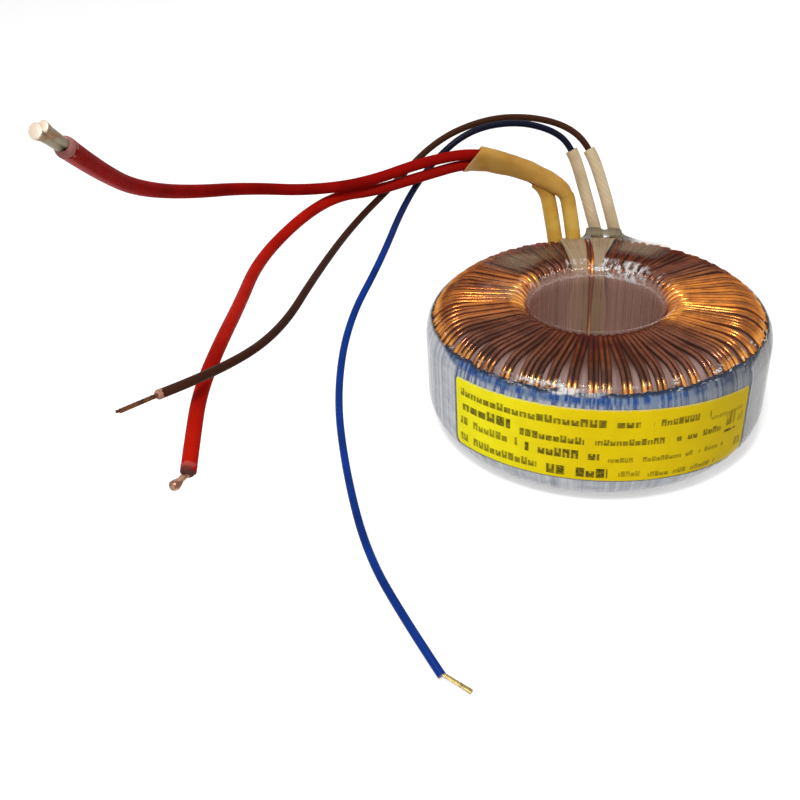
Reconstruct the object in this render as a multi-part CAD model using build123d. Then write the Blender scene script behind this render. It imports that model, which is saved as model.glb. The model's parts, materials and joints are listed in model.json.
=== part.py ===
"""Toroidal mains transformer with flying leads, as a bench-disassemblable assembly.

Frame: millimetres, +Z is the axis of the toroid, the origin is at the centre of
the underside, the middle of the label faces -Y and the leads leave at the back.
The layers are listed from the core outwards, each one seated on the one below
with LAYER_GAP between them.
"""

from build123d import *
import os
from math import pi, radians, sqrt, tan

os.makedirs("parts", exist_ok=True)

# ---------------------------------------------------------------- overall size
OVER_DIAMETER = 100.0       # over the outer film
OVER_HEIGHT = 40.0          # over the outer film
BORE_DIAMETER = 38.0        # clear bore inside the film
OUTER_CORNER = 11.0         # rounding of the outer edges, over the film
BORE_CORNER = 6.0           # rounding of the bore edges, over the film

# ------------------------------------------------------------- layer thickness
LAYER_GAP = 0.05            # clearance between neighbouring layers
FILM_WALL = 0.25            # clear outer film on the outside, top and underside
FILM_BORE = 0.5             # the film overlaps itself in the bore
LABEL_THICKNESS = 0.1
BLUE_TAPE_THICKNESS = 0.15
STRIP_THICKNESS = 0.2       # cloth tape that anchors the leads
WIRE_DIAMETER = 1.4         # enamelled secondary wire
WIRE_CROWDING = 1.9         # layers that the secondary makes in the bore
INTERWINDING_WALL = 0.45    # polyester film between the windings
INTERWINDING_BORE = 0.8
PRIMARY_WALL = 3.3          # build of the primary outside, on top and underneath
PRIMARY_BORE = 3.0          # build of the primary in the bore
CORE_WRAP_WALL = 0.4        # film round the bare core
CORE_WRAP_CORNER = 0.8      # the wrap bridges the core's edge
CORE_EDGE = 0.5             # dressed edge of the rolled strip core

# ----------------------------------------------------------- secondary winding
SECONDARY_PAIRS = 62        # turns, each of two wires laid side by side
TURN_ROOT = 1.6             # how far each turn reaches into the crowded ring
PAIR_DRIFT = (0.0, 0.9, -0.5, 0.3, -0.9, 0.6, 1.1, -0.3, -1.0, 0.2, 0.7, -0.7)

# ----------------------------------------------------------------------- label
LABEL_ARC = 117.0           # degrees round the outer wall
LABEL_HEIGHT = 21.0
LABEL_RAISE = 0.5           # its middle above the middle of the wall

# ------------------------------------------------------------------- blue tape
BLUE_TAPE_WIDTH = 30.6      # centred on the wall and folded over both shoulders

# -------------------------------------------------- tape strips over the leads
STRIP_WIDTH = 9.6           # at the outer rim
STRIP_BORE_WIDTH = 4.6      # gathered together in the bore
STRIP_END_GAP = 0.5         # from the outer end to the blue tape
STRIP_LOW_END = 6.0         # height of the lower end, in the bore
SECONDARY_STRIP_ANGLE = 102.5
PRIMARY_STRIP_ANGLE = 84.0

# ------------------------------------------------------------- thermal cut-out
CUTOUT_LENGTH = 9.0
CUTOUT_WIDTH = 5.5
CUTOUT_HEIGHT = 2.0
CUTOUT_ANGLE = 62.0         # degrees from +X, beside the leads
CUTOUT_CLEARANCE = 0.15

# ----------------------------------------------------------------------- leads
PAIR_OVERLAP = 0.06         # solder between the two wires of a red lead
RED_WALL = 0.175            # sleeving over two secondary wires
MAINS_STRANDS = 1.05        # twisted strands of the brown and blue leads
MAINS_WALL = 0.475
STRANDS_FIT = 0.05          # round a bare end in the bore of its insulation
PAIR_FIT = 0.105
STRIP_SOCKET = 5.0          # depth to which a stripped end is modelled
END_CLEARANCE = 0.05

# --------------------------------------------------------------------- sleeves
WHITE_FIT = 0.4             # round a mains lead in its sleeve
WHITE_WALL = 0.5
YELLOW_FIT = 0.3            # round a red lead in its sleeve
YELLOW_WALL = 0.5
WHITE_REACH = 0.94          # share of the lead's run at which each sleeve ends
YELLOW_RIGHT_REACH = 0.74
YELLOW_LEFT_REACH = 0.5
TAN_WALL = 0.4
SLEEVE_CLEARANCE = 0.15     # round a sleeve or lead where it passes through
SEAT_GAP = 0.1              # from a sleeve or lead to the winding it starts on

# ---------------------------------------------------------------- derived sizes
RED_BORE = 2 * WIRE_DIAMETER - PAIR_OVERLAP + 2 * PAIR_FIT
RED_DIAMETER = RED_BORE + 2 * RED_WALL
MAINS_BORE = MAINS_STRANDS + 2 * STRANDS_FIT
MAINS_DIAMETER = MAINS_BORE + 2 * MAINS_WALL
WHITE_BORE = MAINS_DIAMETER + 2 * WHITE_FIT
WHITE_DIAMETER = WHITE_BORE + 2 * WHITE_WALL
YELLOW_BORE = RED_DIAMETER + 2 * YELLOW_FIT
YELLOW_DIAMETER = YELLOW_BORE + 2 * YELLOW_WALL
TAN_SIZE = RED_DIAMETER + 2 * (SLEEVE_CLEARANCE + TAN_WALL)

# Routes of the leads, from the winding to the end of the insulation.
RED_1_ROUTE = [
    (-6.0, 41.0, 36.5), (-7.5, 44.3, 45.5), (-9.5, 47.5, 54.5), (-22.0, 46.4, 61.7),
    (-37.0, 42.1, 68.2), (-53.0, 32.5, 68.5), (-70.0, 20.0, 66.0), (-85.0, 8.5, 68.0),
    (-96.0, -14.0, 76.5), (-100.0, -46.0, 88.0), (-97.0, -78.5, 101.5),
    (-89.5, -106.5, 115.5), (-82.0, -129.0, 126.0),
]
RED_2_ROUTE = [
    (-12.0, 40.5, 37.0), (-14.5, 44.0, 45.5), (-18.5, 48.5, 54.0), (-28.5, 46.6, 61.4),
    (-40.0, 41.4, 65.4), (-54.5, 31.0, 64.0), (-68.0, 22.5, 62.5), (-78.5, 16.0, 63.5),
    (-87.0, 3.0, 61.5), (-92.0, -22.0, 58.5), (-90.0, -50.0, 60.0), (-86.5, -73.5, 62.0),
    (-86.0, -91.0, 60.0), (-84.0, -104.5, 57.5), (-83.0, -111.5, 54.5),
]
BROWN_ROUTE = [
    (8.0, 44.0, 36.5), (4.0, 50.0, 49.5), (-1.5, 57.0, 63.5), (-7.5, 60.5, 71.0),
    (-21.0, 59.5, 76.0), (-35.5, 55.5, 76.0), (-51.0, 48.0, 70.5), (-63.3, 35.1, 60.8),
    (-72.2, 7.0, 57.8), (-75.0, -30.0, 59.0), (-76.5, -61.0, 59.0), (-81.5, -87.5, 64.0),
    (-90.0, -103.0, 67.5),
]
BLUE_ROUTE = [
    (2.0, 44.5, 36.5), (-2.5, 50.0, 50.0), (-7.5, 55.0, 64.5), (-13.0, 55.5, 71.0),
    (-26.0, 53.0, 75.5), (-40.5, 49.5, 73.0), (-52.0, 43.0, 65.0), (-59.0, 24.5, 58.0),
    (-63.0, 0.0, 49.5), (-69.5, -18.0, 38.0), (-70.5, -39.0, 27.0), (-64.0, -62.5, 19.0),
    (-55.5, -85.0, 11.5), (-44.0, -102.0, 6.0), (-34.0, -112.0, 1.3),
]
# Tips of the stripped ends.
RED_1_TIP = (-83.0, -133.0, 130.0)
RED_2_TIP = (-85.0, -116.0, 53.8)
BROWN_TIP = (-93.5, -114.0, 70.0)
BLUE_TIP = (-27.0, -115.5, 0.8)
# Across the two wires of each red lead's tip.
RED_1_ACROSS = (0.83, 0.42, 0.37)
RED_2_ACROSS = (-0.98, 0.1, -0.1)
UP = (0.0, 0.0, 1.0)

# Binding sleeve: centres of its sections, and how far each is drawn out past the
# round size in depth and in height.
TAN_STATIONS = [
    ((-9.0, 46.7, 52.4), 0.0, 0.5),
    ((-10.6, 47.3, 55.9), 0.0, 0.8),
    ((-16.5, 46.7, 58.9), 0.4, 1.4),
    ((-23.5, 46.1, 61.3), 2.2, 2.0),
    ((-30.5, 44.6, 63.7), 3.3, 2.4),
    ((-38.0, 41.8, 66.3), 4.0, 3.8),
]


class Ring:
    """A ring of rounded rectangular section about the toroid's axis."""

    def __init__(self, r_in, r_out, z_low, z_high, bore_corner, outer_corner):
        self.r_in = r_in
        self.r_out = r_out
        self.z_low = z_low
        self.z_high = z_high
        self.bore_corner = bore_corner
        self.outer_corner = outer_corner

    def inset(self, wall, bore):
        """The ring that fits inside this one, wall and bore thicknesses in."""
        return Ring(
            self.r_in + bore,
            self.r_out - wall,
            self.z_low + wall,
            self.z_high - wall,
            max(self.bore_corner - max(bore, wall), 0.3),
            max(self.outer_corner - wall, 0.3),
        )

    def section(self, ease=fillet):
        """The filled section, to the right of the axis, its edges rounded or chamfered."""
        width = self.r_out - self.r_in
        height = self.z_high - self.z_low
        middle = (self.r_in + self.r_out) / 2, (self.z_low + self.z_high) / 2
        outline = Pos(*middle) * Rectangle(width, height)
        outer = outline.vertices().group_by(Axis.X)[-1]
        outline = ease(outer, self.outer_corner)
        inner = outline.vertices().group_by(Axis.X)[0]
        return ease(inner, self.bore_corner)

    def solid(self, ease=fillet):
        """The full ring."""
        return revolve(Plane.XZ * self.section(ease), Axis.Z, 360)

    def shoulder_radius(self, height):
        """The radius of the wall, or of its rounded shoulder, at a height above the middle."""
        rise = max(height - (self.z_high - self.outer_corner), 0.0)
        return self.r_out - self.outer_corner + sqrt(self.outer_corner**2 - rise**2)


def corner_radii(route):
    """The largest tangent arc at each corner: 0.45 of the shorter run each side."""
    points = [Vector(*p) for p in route]
    radii = []
    for before, here, after in zip(points, points[1:], points[2:]):
        run_in = here - before
        run_out = after - here
        half = radians(run_in.get_angle(run_out)) / 2
        radii.append(0.45 * min(run_in.length, run_out.length) / tan(half))
    return radii


def route_wire(route, radii=None):
    """Straight runs joined by tangent arcs."""
    return FilletPolyline(*route, radius=radii or corner_radii(route))


def rod(path, diameter):
    """A round rod along a path."""
    start = Plane(origin=path @ 0, z_dir=path % 0)
    return sweep(start * Circle(diameter / 2), path=path)


def along(route, corner, share):
    """The route up to a share of the run that follows one of its corners."""
    here, after = Vector(*route[corner]), Vector(*route[corner + 1])
    stop = here + (after - here) * share
    return route[: corner + 1] + [(stop.X, stop.Y, stop.Z)]


def sleeve_on(route, corner, share, outside, bore):
    """A round sleeve over the first part of a lead, and the room that it needs."""
    stretch = along(route, corner, share)
    path = route_wire(stretch, corner_radii(route)[: len(stretch) - 2])
    tube = rod(path, outside) - rod(path, bore)
    return tube, rod(path, outside + 2 * SLEEVE_CLEARANCE)


def oval_loft(stations, grow):
    """A flattened tube lofted through sections that stand across its path."""
    centres = [Vector(*centre) for centre, _, _ in stations]
    faces = []
    for i, (_, deeper, taller) in enumerate(stations):
        ahead = centres[min(i + 1, len(centres) - 1)]
        behind = centres[max(i - 1, 0)]
        across = (ahead - behind).cross(Vector(0, 0.5, 0.86))
        where = Plane(origin=centres[i], x_dir=across, z_dir=ahead - behind)
        size = TAN_SIZE + 2 * grow
        section = Ellipse((size + deeper) / 2, (size + taller) / 2)
        faces.append(where * section)
    return loft(faces)


# ---------------------------------------------------------------------- layers
film_ring = Ring(BORE_DIAMETER / 2, OVER_DIAMETER / 2, 0, OVER_HEIGHT, BORE_CORNER, OUTER_CORNER)
strip_ring = film_ring.inset(FILM_WALL + LAYER_GAP, FILM_BORE + LAYER_GAP)
label_ring = strip_ring
tape_ring = label_ring.inset(LABEL_THICKNESS + LAYER_GAP, LABEL_THICKNESS + LAYER_GAP)
strip_floor = strip_ring.inset(STRIP_THICKNESS, STRIP_THICKNESS)
winding_ring = tape_ring.inset(BLUE_TAPE_THICKNESS + LAYER_GAP, BLUE_TAPE_THICKNESS + LAYER_GAP)
winding_floor = winding_ring.inset(WIRE_DIAMETER, WIRE_DIAMETER * WIRE_CROWDING)
film_2_ring = winding_floor.inset(LAYER_GAP, LAYER_GAP)
primary_ring = film_2_ring.inset(INTERWINDING_WALL + LAYER_GAP, INTERWINDING_BORE + LAYER_GAP)

primary_inner = primary_ring.inset(PRIMARY_WALL, PRIMARY_BORE)
primary_inner.bore_corner = primary_inner.outer_corner = CORE_WRAP_CORNER + LAYER_GAP
wrap_ring = primary_inner.inset(LAYER_GAP, LAYER_GAP)
wrap_inner = wrap_ring.inset(CORE_WRAP_WALL, CORE_WRAP_WALL)
wrap_inner.bore_corner = wrap_inner.outer_corner = CORE_EDGE + LAYER_GAP
core_ring = wrap_inner.inset(LAYER_GAP, LAYER_GAP)
parts = {}

# -------------------------------------------------------------- core and wraps
parts["core"] = core_ring.solid(chamfer)
parts["core_wrap"] = wrap_ring.solid(chamfer) - wrap_inner.solid(chamfer)

# ------------------------------------------------ primary winding and cut-out
flat_in = primary_ring.r_in + primary_ring.bore_corner
flat_out = primary_ring.r_out - primary_ring.outer_corner
cutout_radius = (flat_in + flat_out) / 2
cutout_top = primary_ring.z_high - LAYER_GAP
cutout_place = Rot(Z=CUTOUT_ANGLE) * Pos(cutout_radius, 0, cutout_top - CUTOUT_HEIGHT / 2)
cutout_body = Box(CUTOUT_LENGTH, CUTOUT_WIDTH, CUTOUT_HEIGHT)
cutout_body = fillet(cutout_body.edges().filter_by(Axis.Z), 0.8)
pocket = Box(
    CUTOUT_LENGTH + 2 * CUTOUT_CLEARANCE,
    CUTOUT_WIDTH + 2 * CUTOUT_CLEARANCE,
    CUTOUT_HEIGHT + 2 * CUTOUT_CLEARANCE,
)
parts["thermal_cutout"] = cutout_place * cutout_body
parts["primary_winding"] = primary_ring.solid() - primary_inner.solid(chamfer) - cutout_place * pocket

# -------------------------------------------------------------------- sleeves
white_left, white_left_room = sleeve_on(BLUE_ROUTE, 1, WHITE_REACH, WHITE_DIAMETER, WHITE_BORE)
white_right, white_right_room = sleeve_on(BROWN_ROUTE, 1, WHITE_REACH, WHITE_DIAMETER, WHITE_BORE)
yellow_right, yellow_right_room = sleeve_on(RED_1_ROUTE, 1, YELLOW_RIGHT_REACH, YELLOW_DIAMETER, YELLOW_BORE)
yellow_left, yellow_left_room = sleeve_on(RED_2_ROUTE, 2, YELLOW_LEFT_REACH, YELLOW_DIAMETER, YELLOW_BORE)

primary_seat = primary_ring.inset(-SEAT_GAP, -SEAT_GAP).solid()
secondary_seat = winding_ring.inset(-SEAT_GAP, -SEAT_GAP).solid()
tan_body = oval_loft(TAN_STATIONS, 0.0)
tan_room = oval_loft(TAN_STATIONS, SEAT_GAP)

parts["white_sleeve_left"] = white_left - primary_seat
parts["white_sleeve_right"] = white_right - primary_seat
parts["yellow_sleeve_left"] = yellow_left - secondary_seat - tan_room
parts["yellow_sleeve_right"] = yellow_right - secondary_seat - tan_room

# ---------------------------------------------------------------------- leads
red_1_path = route_wire(RED_1_ROUTE)
red_2_path = route_wire(RED_2_ROUTE)
brown_path = route_wire(BROWN_ROUTE)
blue_path = route_wire(BLUE_ROUTE)
for name, route, path in (
    ("red_lead_1", RED_1_ROUTE, red_1_path),
    ("red_lead_2", RED_2_ROUTE, red_2_path),
    ("brown_lead", BROWN_ROUTE, brown_path),
    ("blue_lead", BLUE_ROUTE, blue_path),
):
    print(name, "length", round(path.length, 1), "radii", [round(r, 1) for r in corner_radii(route)])


def stripped_end(path, tip, section, across, bore):
    """The bare end that stands in the blind bore of its insulation, and the bore."""
    end, way = path @ 1, path % 1
    back = end - way * STRIP_SOCKET
    reach = Vector(*tip) - end
    turn = radians(way.get_angle(reach)) / 2
    radius = 0.45 * min(STRIP_SOCKET, reach.length) / tan(turn) * 0.6
    line = FilletPolyline(back, end + way * 0.6, Vector(*tip), radius=min(radius, 4.0))
    place = Plane(origin=back, x_dir=across, z_dir=way)
    solid = sweep(place * section, path=line)
    socket = Plane(origin=end + way, z_dir=-way) * Pos(0, 0, (STRIP_SOCKET + 1 + END_CLEARANCE) / 2)
    return solid, socket * Cylinder(bore / 2, STRIP_SOCKET + 1 + END_CLEARANCE)


wire_offset = (WIRE_DIAMETER - PAIR_OVERLAP) / 2
wire = Circle(WIRE_DIAMETER / 2)
pair = Pos(wire_offset, 0) * wire + Pos(-wire_offset, 0) * wire
strands = Circle(MAINS_STRANDS / 2)
# name, path, tip, section of the bare end and its across direction, bore, outside, seat
LEADS = (
    ("red_lead_1", red_1_path, RED_1_TIP, pair, RED_1_ACROSS, RED_BORE, RED_DIAMETER, secondary_seat),
    ("red_lead_2", red_2_path, RED_2_TIP, pair, RED_2_ACROSS, RED_BORE, RED_DIAMETER, secondary_seat),
    ("brown_lead", brown_path, BROWN_TIP, strands, UP, MAINS_BORE, MAINS_DIAMETER, primary_seat),
    ("blue_lead", blue_path, BLUE_TIP, strands, UP, MAINS_BORE, MAINS_DIAMETER, primary_seat),
)
for name, path, tip, section, across, bore, size, seat in LEADS:
    bare, socket = stripped_end(path, tip, section, across, bore)
    lead = rod(path, size)
    section_volume = pi * size**2 / 4 * path.length
    print(name, "volume", round(lead.volume, 1), "section x length", round(section_volume, 1))
    parts[name] = lead - seat - socket
    parts[name + "_bare_end"] = bare

# ------------------------------------------------------------- binding sleeve
tan_bore = oval_loft(TAN_STATIONS, -TAN_WALL)
red_2_room = rod(red_2_path, RED_DIAMETER + 2 * SLEEVE_CLEARANCE)
red_1_room = rod(red_1_path, RED_DIAMETER + 2 * SLEEVE_CLEARANCE)
parts["binding_sleeve"] = tan_body - tan_bore - red_2_room - red_1_room

# ----------------------------------------------------------- secondary winding
# In the bore the turns crowd into one ring. Further out each is a loop of its own.
pair_width = 2 * WIRE_DIAMETER
crowded_radius = SECONDARY_PAIRS * pair_width / (2 * pi)
pitch = 360 / SECONDARY_PAIRS
loop_section = winding_ring.section() - winding_floor.section()
bore_half = Pos(crowded_radius / 2, OVER_HEIGHT / 2) * Rectangle(crowded_radius, OVER_HEIGHT)
open_half = Pos(crowded_radius / 2 - TURN_ROOT, OVER_HEIGHT / 2) * Rectangle(crowded_radius, OVER_HEIGHT)
crowded_ring = revolve(Plane.XZ * (loop_section & bore_half), Axis.Z, 360)
turn = extrude(Plane.XZ * (loop_section - open_half), pair_width / 2, both=True)
turns = []
for i in range(SECONDARY_PAIRS):
    turns.append(Rot(Z=i * pitch + PAIR_DRIFT[i % len(PAIR_DRIFT)]) * turn)
winding = crowded_ring.fuse(*turns)
parts["secondary_winding"] = winding - white_left_room - white_right_room

# ---------------------------------------------------------- interwinding film
film_2 = film_2_ring.solid() - primary_ring.inset(-LAYER_GAP, -LAYER_GAP).solid()
parts["interwinding_film"] = film_2 - white_left_room - white_right_room

# ------------------------------------------------------------------- blue tape
middle_radius = (BORE_DIAMETER + OVER_DIAMETER) / 4
tape_shell = tape_ring.solid() - tape_ring.inset(BLUE_TAPE_THICKNESS, BLUE_TAPE_THICKNESS).solid()
keep = Pos(0, 0, OVER_HEIGHT / 2) * Cylinder(OVER_DIAMETER, BLUE_TAPE_WIDTH)
keep -= Pos(0, 0, OVER_HEIGHT / 2) * Cylinder(middle_radius, OVER_HEIGHT)
parts["blue_tape"] = tape_shell & keep

# ----------------------------------------------------------------------- label
label_shell = label_ring.solid() - label_ring.inset(LABEL_THICKNESS, LABEL_THICKNESS).solid()
rim = CenterArc((0, 0), OVER_DIAMETER, -90 - LABEL_ARC / 2, LABEL_ARC)
outline = [Line((0, 0), rim @ 0), rim, Line(rim @ 1, (0, 0))]
label_bottom = (OVER_HEIGHT - LABEL_HEIGHT) / 2 + LABEL_RAISE
sector = Pos(0, 0, label_bottom) * extrude(make_face(outline), LABEL_HEIGHT)
sector -= Pos(0, 0, OVER_HEIGHT / 2) * Cylinder(middle_radius, OVER_HEIGHT)
parts["label"] = label_shell & sector

# ---------------------------------------------- tape strips under the sleeves
strip_shell = strip_ring.solid() - strip_floor.solid()
outside_low = Cylinder(OVER_DIAMETER, OVER_HEIGHT / 2) - Cylinder(middle_radius, OVER_HEIGHT / 2)
strip_shell -= Pos(0, 0, OVER_HEIGHT / 4) * outside_low
tape_edge = tape_ring.shoulder_radius((OVER_HEIGHT + BLUE_TAPE_WIDTH) / 2)


def strip_sector(angle, outer_width, bore_width):
    """A tapering radial sector from inside the bore to past the sleeves."""
    inner, outer = BORE_DIAMETER / 4, tape_edge - STRIP_END_GAP
    outline = Polyline(
        (inner, -bore_width / 2),
        (outer, -outer_width / 2),
        (outer, outer_width / 2),
        (inner, bore_width / 2),
        close=True,
    )
    height = OVER_HEIGHT - STRIP_LOW_END
    return Rot(Z=angle) * Pos(0, 0, STRIP_LOW_END) * extrude(make_face(outline), height)


for name, angle, rooms in (
    ("secondary_lead_tape", SECONDARY_STRIP_ANGLE, (yellow_left_room, yellow_right_room)),
    ("primary_lead_tape", PRIMARY_STRIP_ANGLE, (white_left_room, white_right_room)),
):
    parts[name] = (strip_shell & strip_sector(angle, STRIP_WIDTH, STRIP_BORE_WIDTH)) - rooms[0] - rooms[1]

# ------------------------------------------------------------------ outer film
film = film_ring.solid() - film_ring.inset(FILM_WALL, FILM_BORE).solid()
parts["outer_film"] = film - white_left_room - white_right_room - yellow_left_room - yellow_right_room

for name, shape in parts.items():
    export_step(shape, f"parts/{name}.step")
    print(name, len(shape.solids()), round(shape.volume, 1))
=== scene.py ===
"""Looks of a toroidal mains transformer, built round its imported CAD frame.

Every piece is in metres in the frame of the CAD model: +Z is the toroid's axis,
the origin is at the centre of its underside, the label faces -Y and the flying
leads leave at the back. Sub-assemblies are classes that build and dress their
own pieces; finishes are small classes that make one material each.
"""

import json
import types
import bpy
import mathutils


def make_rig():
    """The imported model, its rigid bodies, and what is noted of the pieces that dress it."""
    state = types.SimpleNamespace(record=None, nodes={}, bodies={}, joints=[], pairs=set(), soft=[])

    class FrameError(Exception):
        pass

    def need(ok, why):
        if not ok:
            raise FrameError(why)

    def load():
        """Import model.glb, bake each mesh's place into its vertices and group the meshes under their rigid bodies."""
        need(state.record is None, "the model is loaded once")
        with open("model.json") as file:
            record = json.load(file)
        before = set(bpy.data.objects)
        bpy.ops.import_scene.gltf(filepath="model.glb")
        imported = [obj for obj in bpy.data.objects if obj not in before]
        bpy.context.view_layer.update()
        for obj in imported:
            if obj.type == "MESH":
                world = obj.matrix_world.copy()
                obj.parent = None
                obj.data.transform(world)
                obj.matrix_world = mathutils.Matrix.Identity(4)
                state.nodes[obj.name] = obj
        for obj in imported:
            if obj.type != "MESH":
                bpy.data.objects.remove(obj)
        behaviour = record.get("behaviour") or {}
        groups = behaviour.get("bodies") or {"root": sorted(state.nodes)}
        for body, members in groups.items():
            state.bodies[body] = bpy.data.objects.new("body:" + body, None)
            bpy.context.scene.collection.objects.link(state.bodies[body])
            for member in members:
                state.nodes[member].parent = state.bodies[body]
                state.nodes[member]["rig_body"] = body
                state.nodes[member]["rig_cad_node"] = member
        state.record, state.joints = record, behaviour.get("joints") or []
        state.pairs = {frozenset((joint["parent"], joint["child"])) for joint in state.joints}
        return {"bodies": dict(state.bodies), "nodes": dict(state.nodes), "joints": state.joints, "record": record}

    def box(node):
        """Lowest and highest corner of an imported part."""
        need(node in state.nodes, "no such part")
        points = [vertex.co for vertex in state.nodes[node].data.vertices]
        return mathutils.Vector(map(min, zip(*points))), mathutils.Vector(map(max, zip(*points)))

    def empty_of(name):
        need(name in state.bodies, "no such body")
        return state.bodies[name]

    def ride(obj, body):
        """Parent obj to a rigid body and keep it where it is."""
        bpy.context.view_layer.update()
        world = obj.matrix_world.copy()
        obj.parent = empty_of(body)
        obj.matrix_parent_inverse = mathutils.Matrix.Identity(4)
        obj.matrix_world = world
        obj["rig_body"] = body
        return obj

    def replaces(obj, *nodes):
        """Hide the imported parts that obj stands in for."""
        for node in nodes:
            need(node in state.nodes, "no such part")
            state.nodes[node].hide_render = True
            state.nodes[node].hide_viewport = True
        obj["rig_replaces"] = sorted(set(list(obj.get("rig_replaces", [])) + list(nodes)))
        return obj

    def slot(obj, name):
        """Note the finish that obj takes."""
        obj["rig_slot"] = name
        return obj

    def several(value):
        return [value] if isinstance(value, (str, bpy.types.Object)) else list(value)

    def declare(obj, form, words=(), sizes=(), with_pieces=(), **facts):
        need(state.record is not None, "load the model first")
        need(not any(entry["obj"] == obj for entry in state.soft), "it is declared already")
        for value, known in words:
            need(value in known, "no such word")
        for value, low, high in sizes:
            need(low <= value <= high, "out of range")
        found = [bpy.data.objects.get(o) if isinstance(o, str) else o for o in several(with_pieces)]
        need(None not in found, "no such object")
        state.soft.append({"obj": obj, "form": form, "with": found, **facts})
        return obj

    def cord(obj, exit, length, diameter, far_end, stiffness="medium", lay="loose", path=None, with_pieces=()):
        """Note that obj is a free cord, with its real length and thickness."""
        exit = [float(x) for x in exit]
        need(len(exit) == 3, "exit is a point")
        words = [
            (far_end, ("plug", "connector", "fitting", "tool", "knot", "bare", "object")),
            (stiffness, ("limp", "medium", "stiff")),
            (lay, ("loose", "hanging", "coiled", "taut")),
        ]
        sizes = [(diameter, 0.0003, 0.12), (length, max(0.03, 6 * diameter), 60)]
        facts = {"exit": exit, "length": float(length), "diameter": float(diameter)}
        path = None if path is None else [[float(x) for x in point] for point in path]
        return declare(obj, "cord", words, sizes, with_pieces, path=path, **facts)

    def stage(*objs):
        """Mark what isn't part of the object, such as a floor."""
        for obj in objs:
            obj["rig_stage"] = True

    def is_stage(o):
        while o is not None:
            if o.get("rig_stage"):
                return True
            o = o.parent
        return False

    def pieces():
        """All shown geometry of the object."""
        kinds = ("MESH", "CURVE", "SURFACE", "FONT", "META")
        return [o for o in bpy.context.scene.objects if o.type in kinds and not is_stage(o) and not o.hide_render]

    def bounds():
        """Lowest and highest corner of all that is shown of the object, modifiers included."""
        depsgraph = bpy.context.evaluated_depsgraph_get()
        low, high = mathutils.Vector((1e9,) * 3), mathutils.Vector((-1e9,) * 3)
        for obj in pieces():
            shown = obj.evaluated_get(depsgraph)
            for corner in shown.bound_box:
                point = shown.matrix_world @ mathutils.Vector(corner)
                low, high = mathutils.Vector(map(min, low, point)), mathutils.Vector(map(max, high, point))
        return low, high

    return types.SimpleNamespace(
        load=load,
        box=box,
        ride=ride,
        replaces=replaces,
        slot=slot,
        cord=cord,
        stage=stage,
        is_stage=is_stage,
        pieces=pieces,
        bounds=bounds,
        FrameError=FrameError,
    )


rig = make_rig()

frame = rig.load()
CAD_BOX = [[float(x) for x in corner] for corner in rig.bounds()]

import json
import logging
import math
import random
from contextlib import contextmanager
from dataclasses import dataclass, field
from enum import Enum
from functools import lru_cache
from typing import Any, Callable, Dict, Iterator, List, Optional, Sequence, Tuple

import bmesh
import bpy
import numpy as np
from mathutils import Matrix, Vector

LOG = logging.getLogger("toroid")
Point = Tuple[float, float, float]
Colour = Tuple[float, float, float, float]
MM = 0.001
BODY = "root"


class Turn(Enum):
    """Which way a strand twists."""

    LEFT = 1
    RIGHT = -1


@dataclass(frozen=True)
class LabelPlace:
    """Where the label lies on the wall: its ends in radians, its edges in metres and its slight arch."""

    left: float = math.radians(-50.0)
    right: float = math.radians(53.5)
    low: float = 0.0094
    high: float = 0.0317
    middle: float = -0.14
    arch: float = 0.00295
    print_radius: float = 0.0492

    def droop(self, angle: float) -> float:
        """How far the label hangs below its highest line at an angle."""
        return self.arch * (angle - self.middle) ** 2


LABEL = LabelPlace()


# ------------------------------------------------------------------ mesh helpers
def deselect_all() -> None:
    """Leaves nothing selected."""
    for item in list(bpy.context.selected_objects):
        item.select_set(False)


def new_object(name: str, data: Any) -> bpy.types.Object:
    """Links a new object that holds some data.

    Args:
        name: The object's name.
        data: What it holds.

    Returns:
        The object.
    """
    made = bpy.data.objects.new(name, data)
    bpy.context.scene.collection.objects.link(made)
    return made


def activate(piece: bpy.types.Object) -> None:
    """Makes one piece the active and only selected object.

    Args:
        piece: The object to work on.
    """
    deselect_all()
    piece.select_set(True)
    bpy.context.view_layer.objects.active = piece


@contextmanager
def edit_mode(piece: bpy.types.Object) -> Iterator[bmesh.types.BMesh]:
    """Opens a piece in edit mode with nothing selected.

    Args:
        piece: The object to edit.

    Returns:
        The live edit mesh.
    """
    activate(piece)
    bpy.ops.object.mode_set(mode="EDIT")
    bpy.ops.mesh.select_mode(type="VERT")
    bpy.ops.mesh.select_all(action="DESELECT")
    yield bmesh.from_edit_mesh(piece.data)
    bpy.ops.object.mode_set(mode="OBJECT")


def extrude(x: float, z: float, steps: int = 1) -> None:
    """Extrudes what is selected sideways and up, in each step by the same way."""
    for _ in range(steps):
        bpy.ops.mesh.extrude_region_move(TRANSFORM_OT_translate={"value": (x, 0, z)})


def face_outwards(piece: bpy.types.Object) -> None:
    """Turns all the faces of a piece outwards."""
    with edit_mode(piece):
        bpy.ops.mesh.select_all(action="SELECT")
        bpy.ops.mesh.normals_make_consistent(inside=False)


def mark(mesh: bpy.types.Mesh, name: str, values: np.ndarray) -> None:
    """Gives each vertex a number that a finish can read."""
    mesh.attributes.new(name, "FLOAT", "POINT").data.foreach_set("value", values)


def settle(piece: bpy.types.Object) -> None:
    """Puts a piece's place into its mesh, so that its object sits at the origin."""
    piece.data.transform(piece.matrix_world)
    piece.matrix_world = Matrix.Identity(4)


def circle(name: str, radius: float, sides: int, place: Point = (0, 0, 0)) -> bpy.types.Object:
    """A plain ring of edges, the start of a tube.

    Args:
        name: The piece's name.
        radius: Its radius.
        sides: How many edges it has.
        place: Its centre.

    Returns:
        The new object, settled.
    """
    deselect_all()
    bpy.ops.mesh.primitive_circle_add(vertices=sides, radius=radius, fill_type="NOTHING", location=place)
    piece = bpy.context.active_object
    piece.name = piece.data.name = name
    settle(piece)
    return piece


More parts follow.
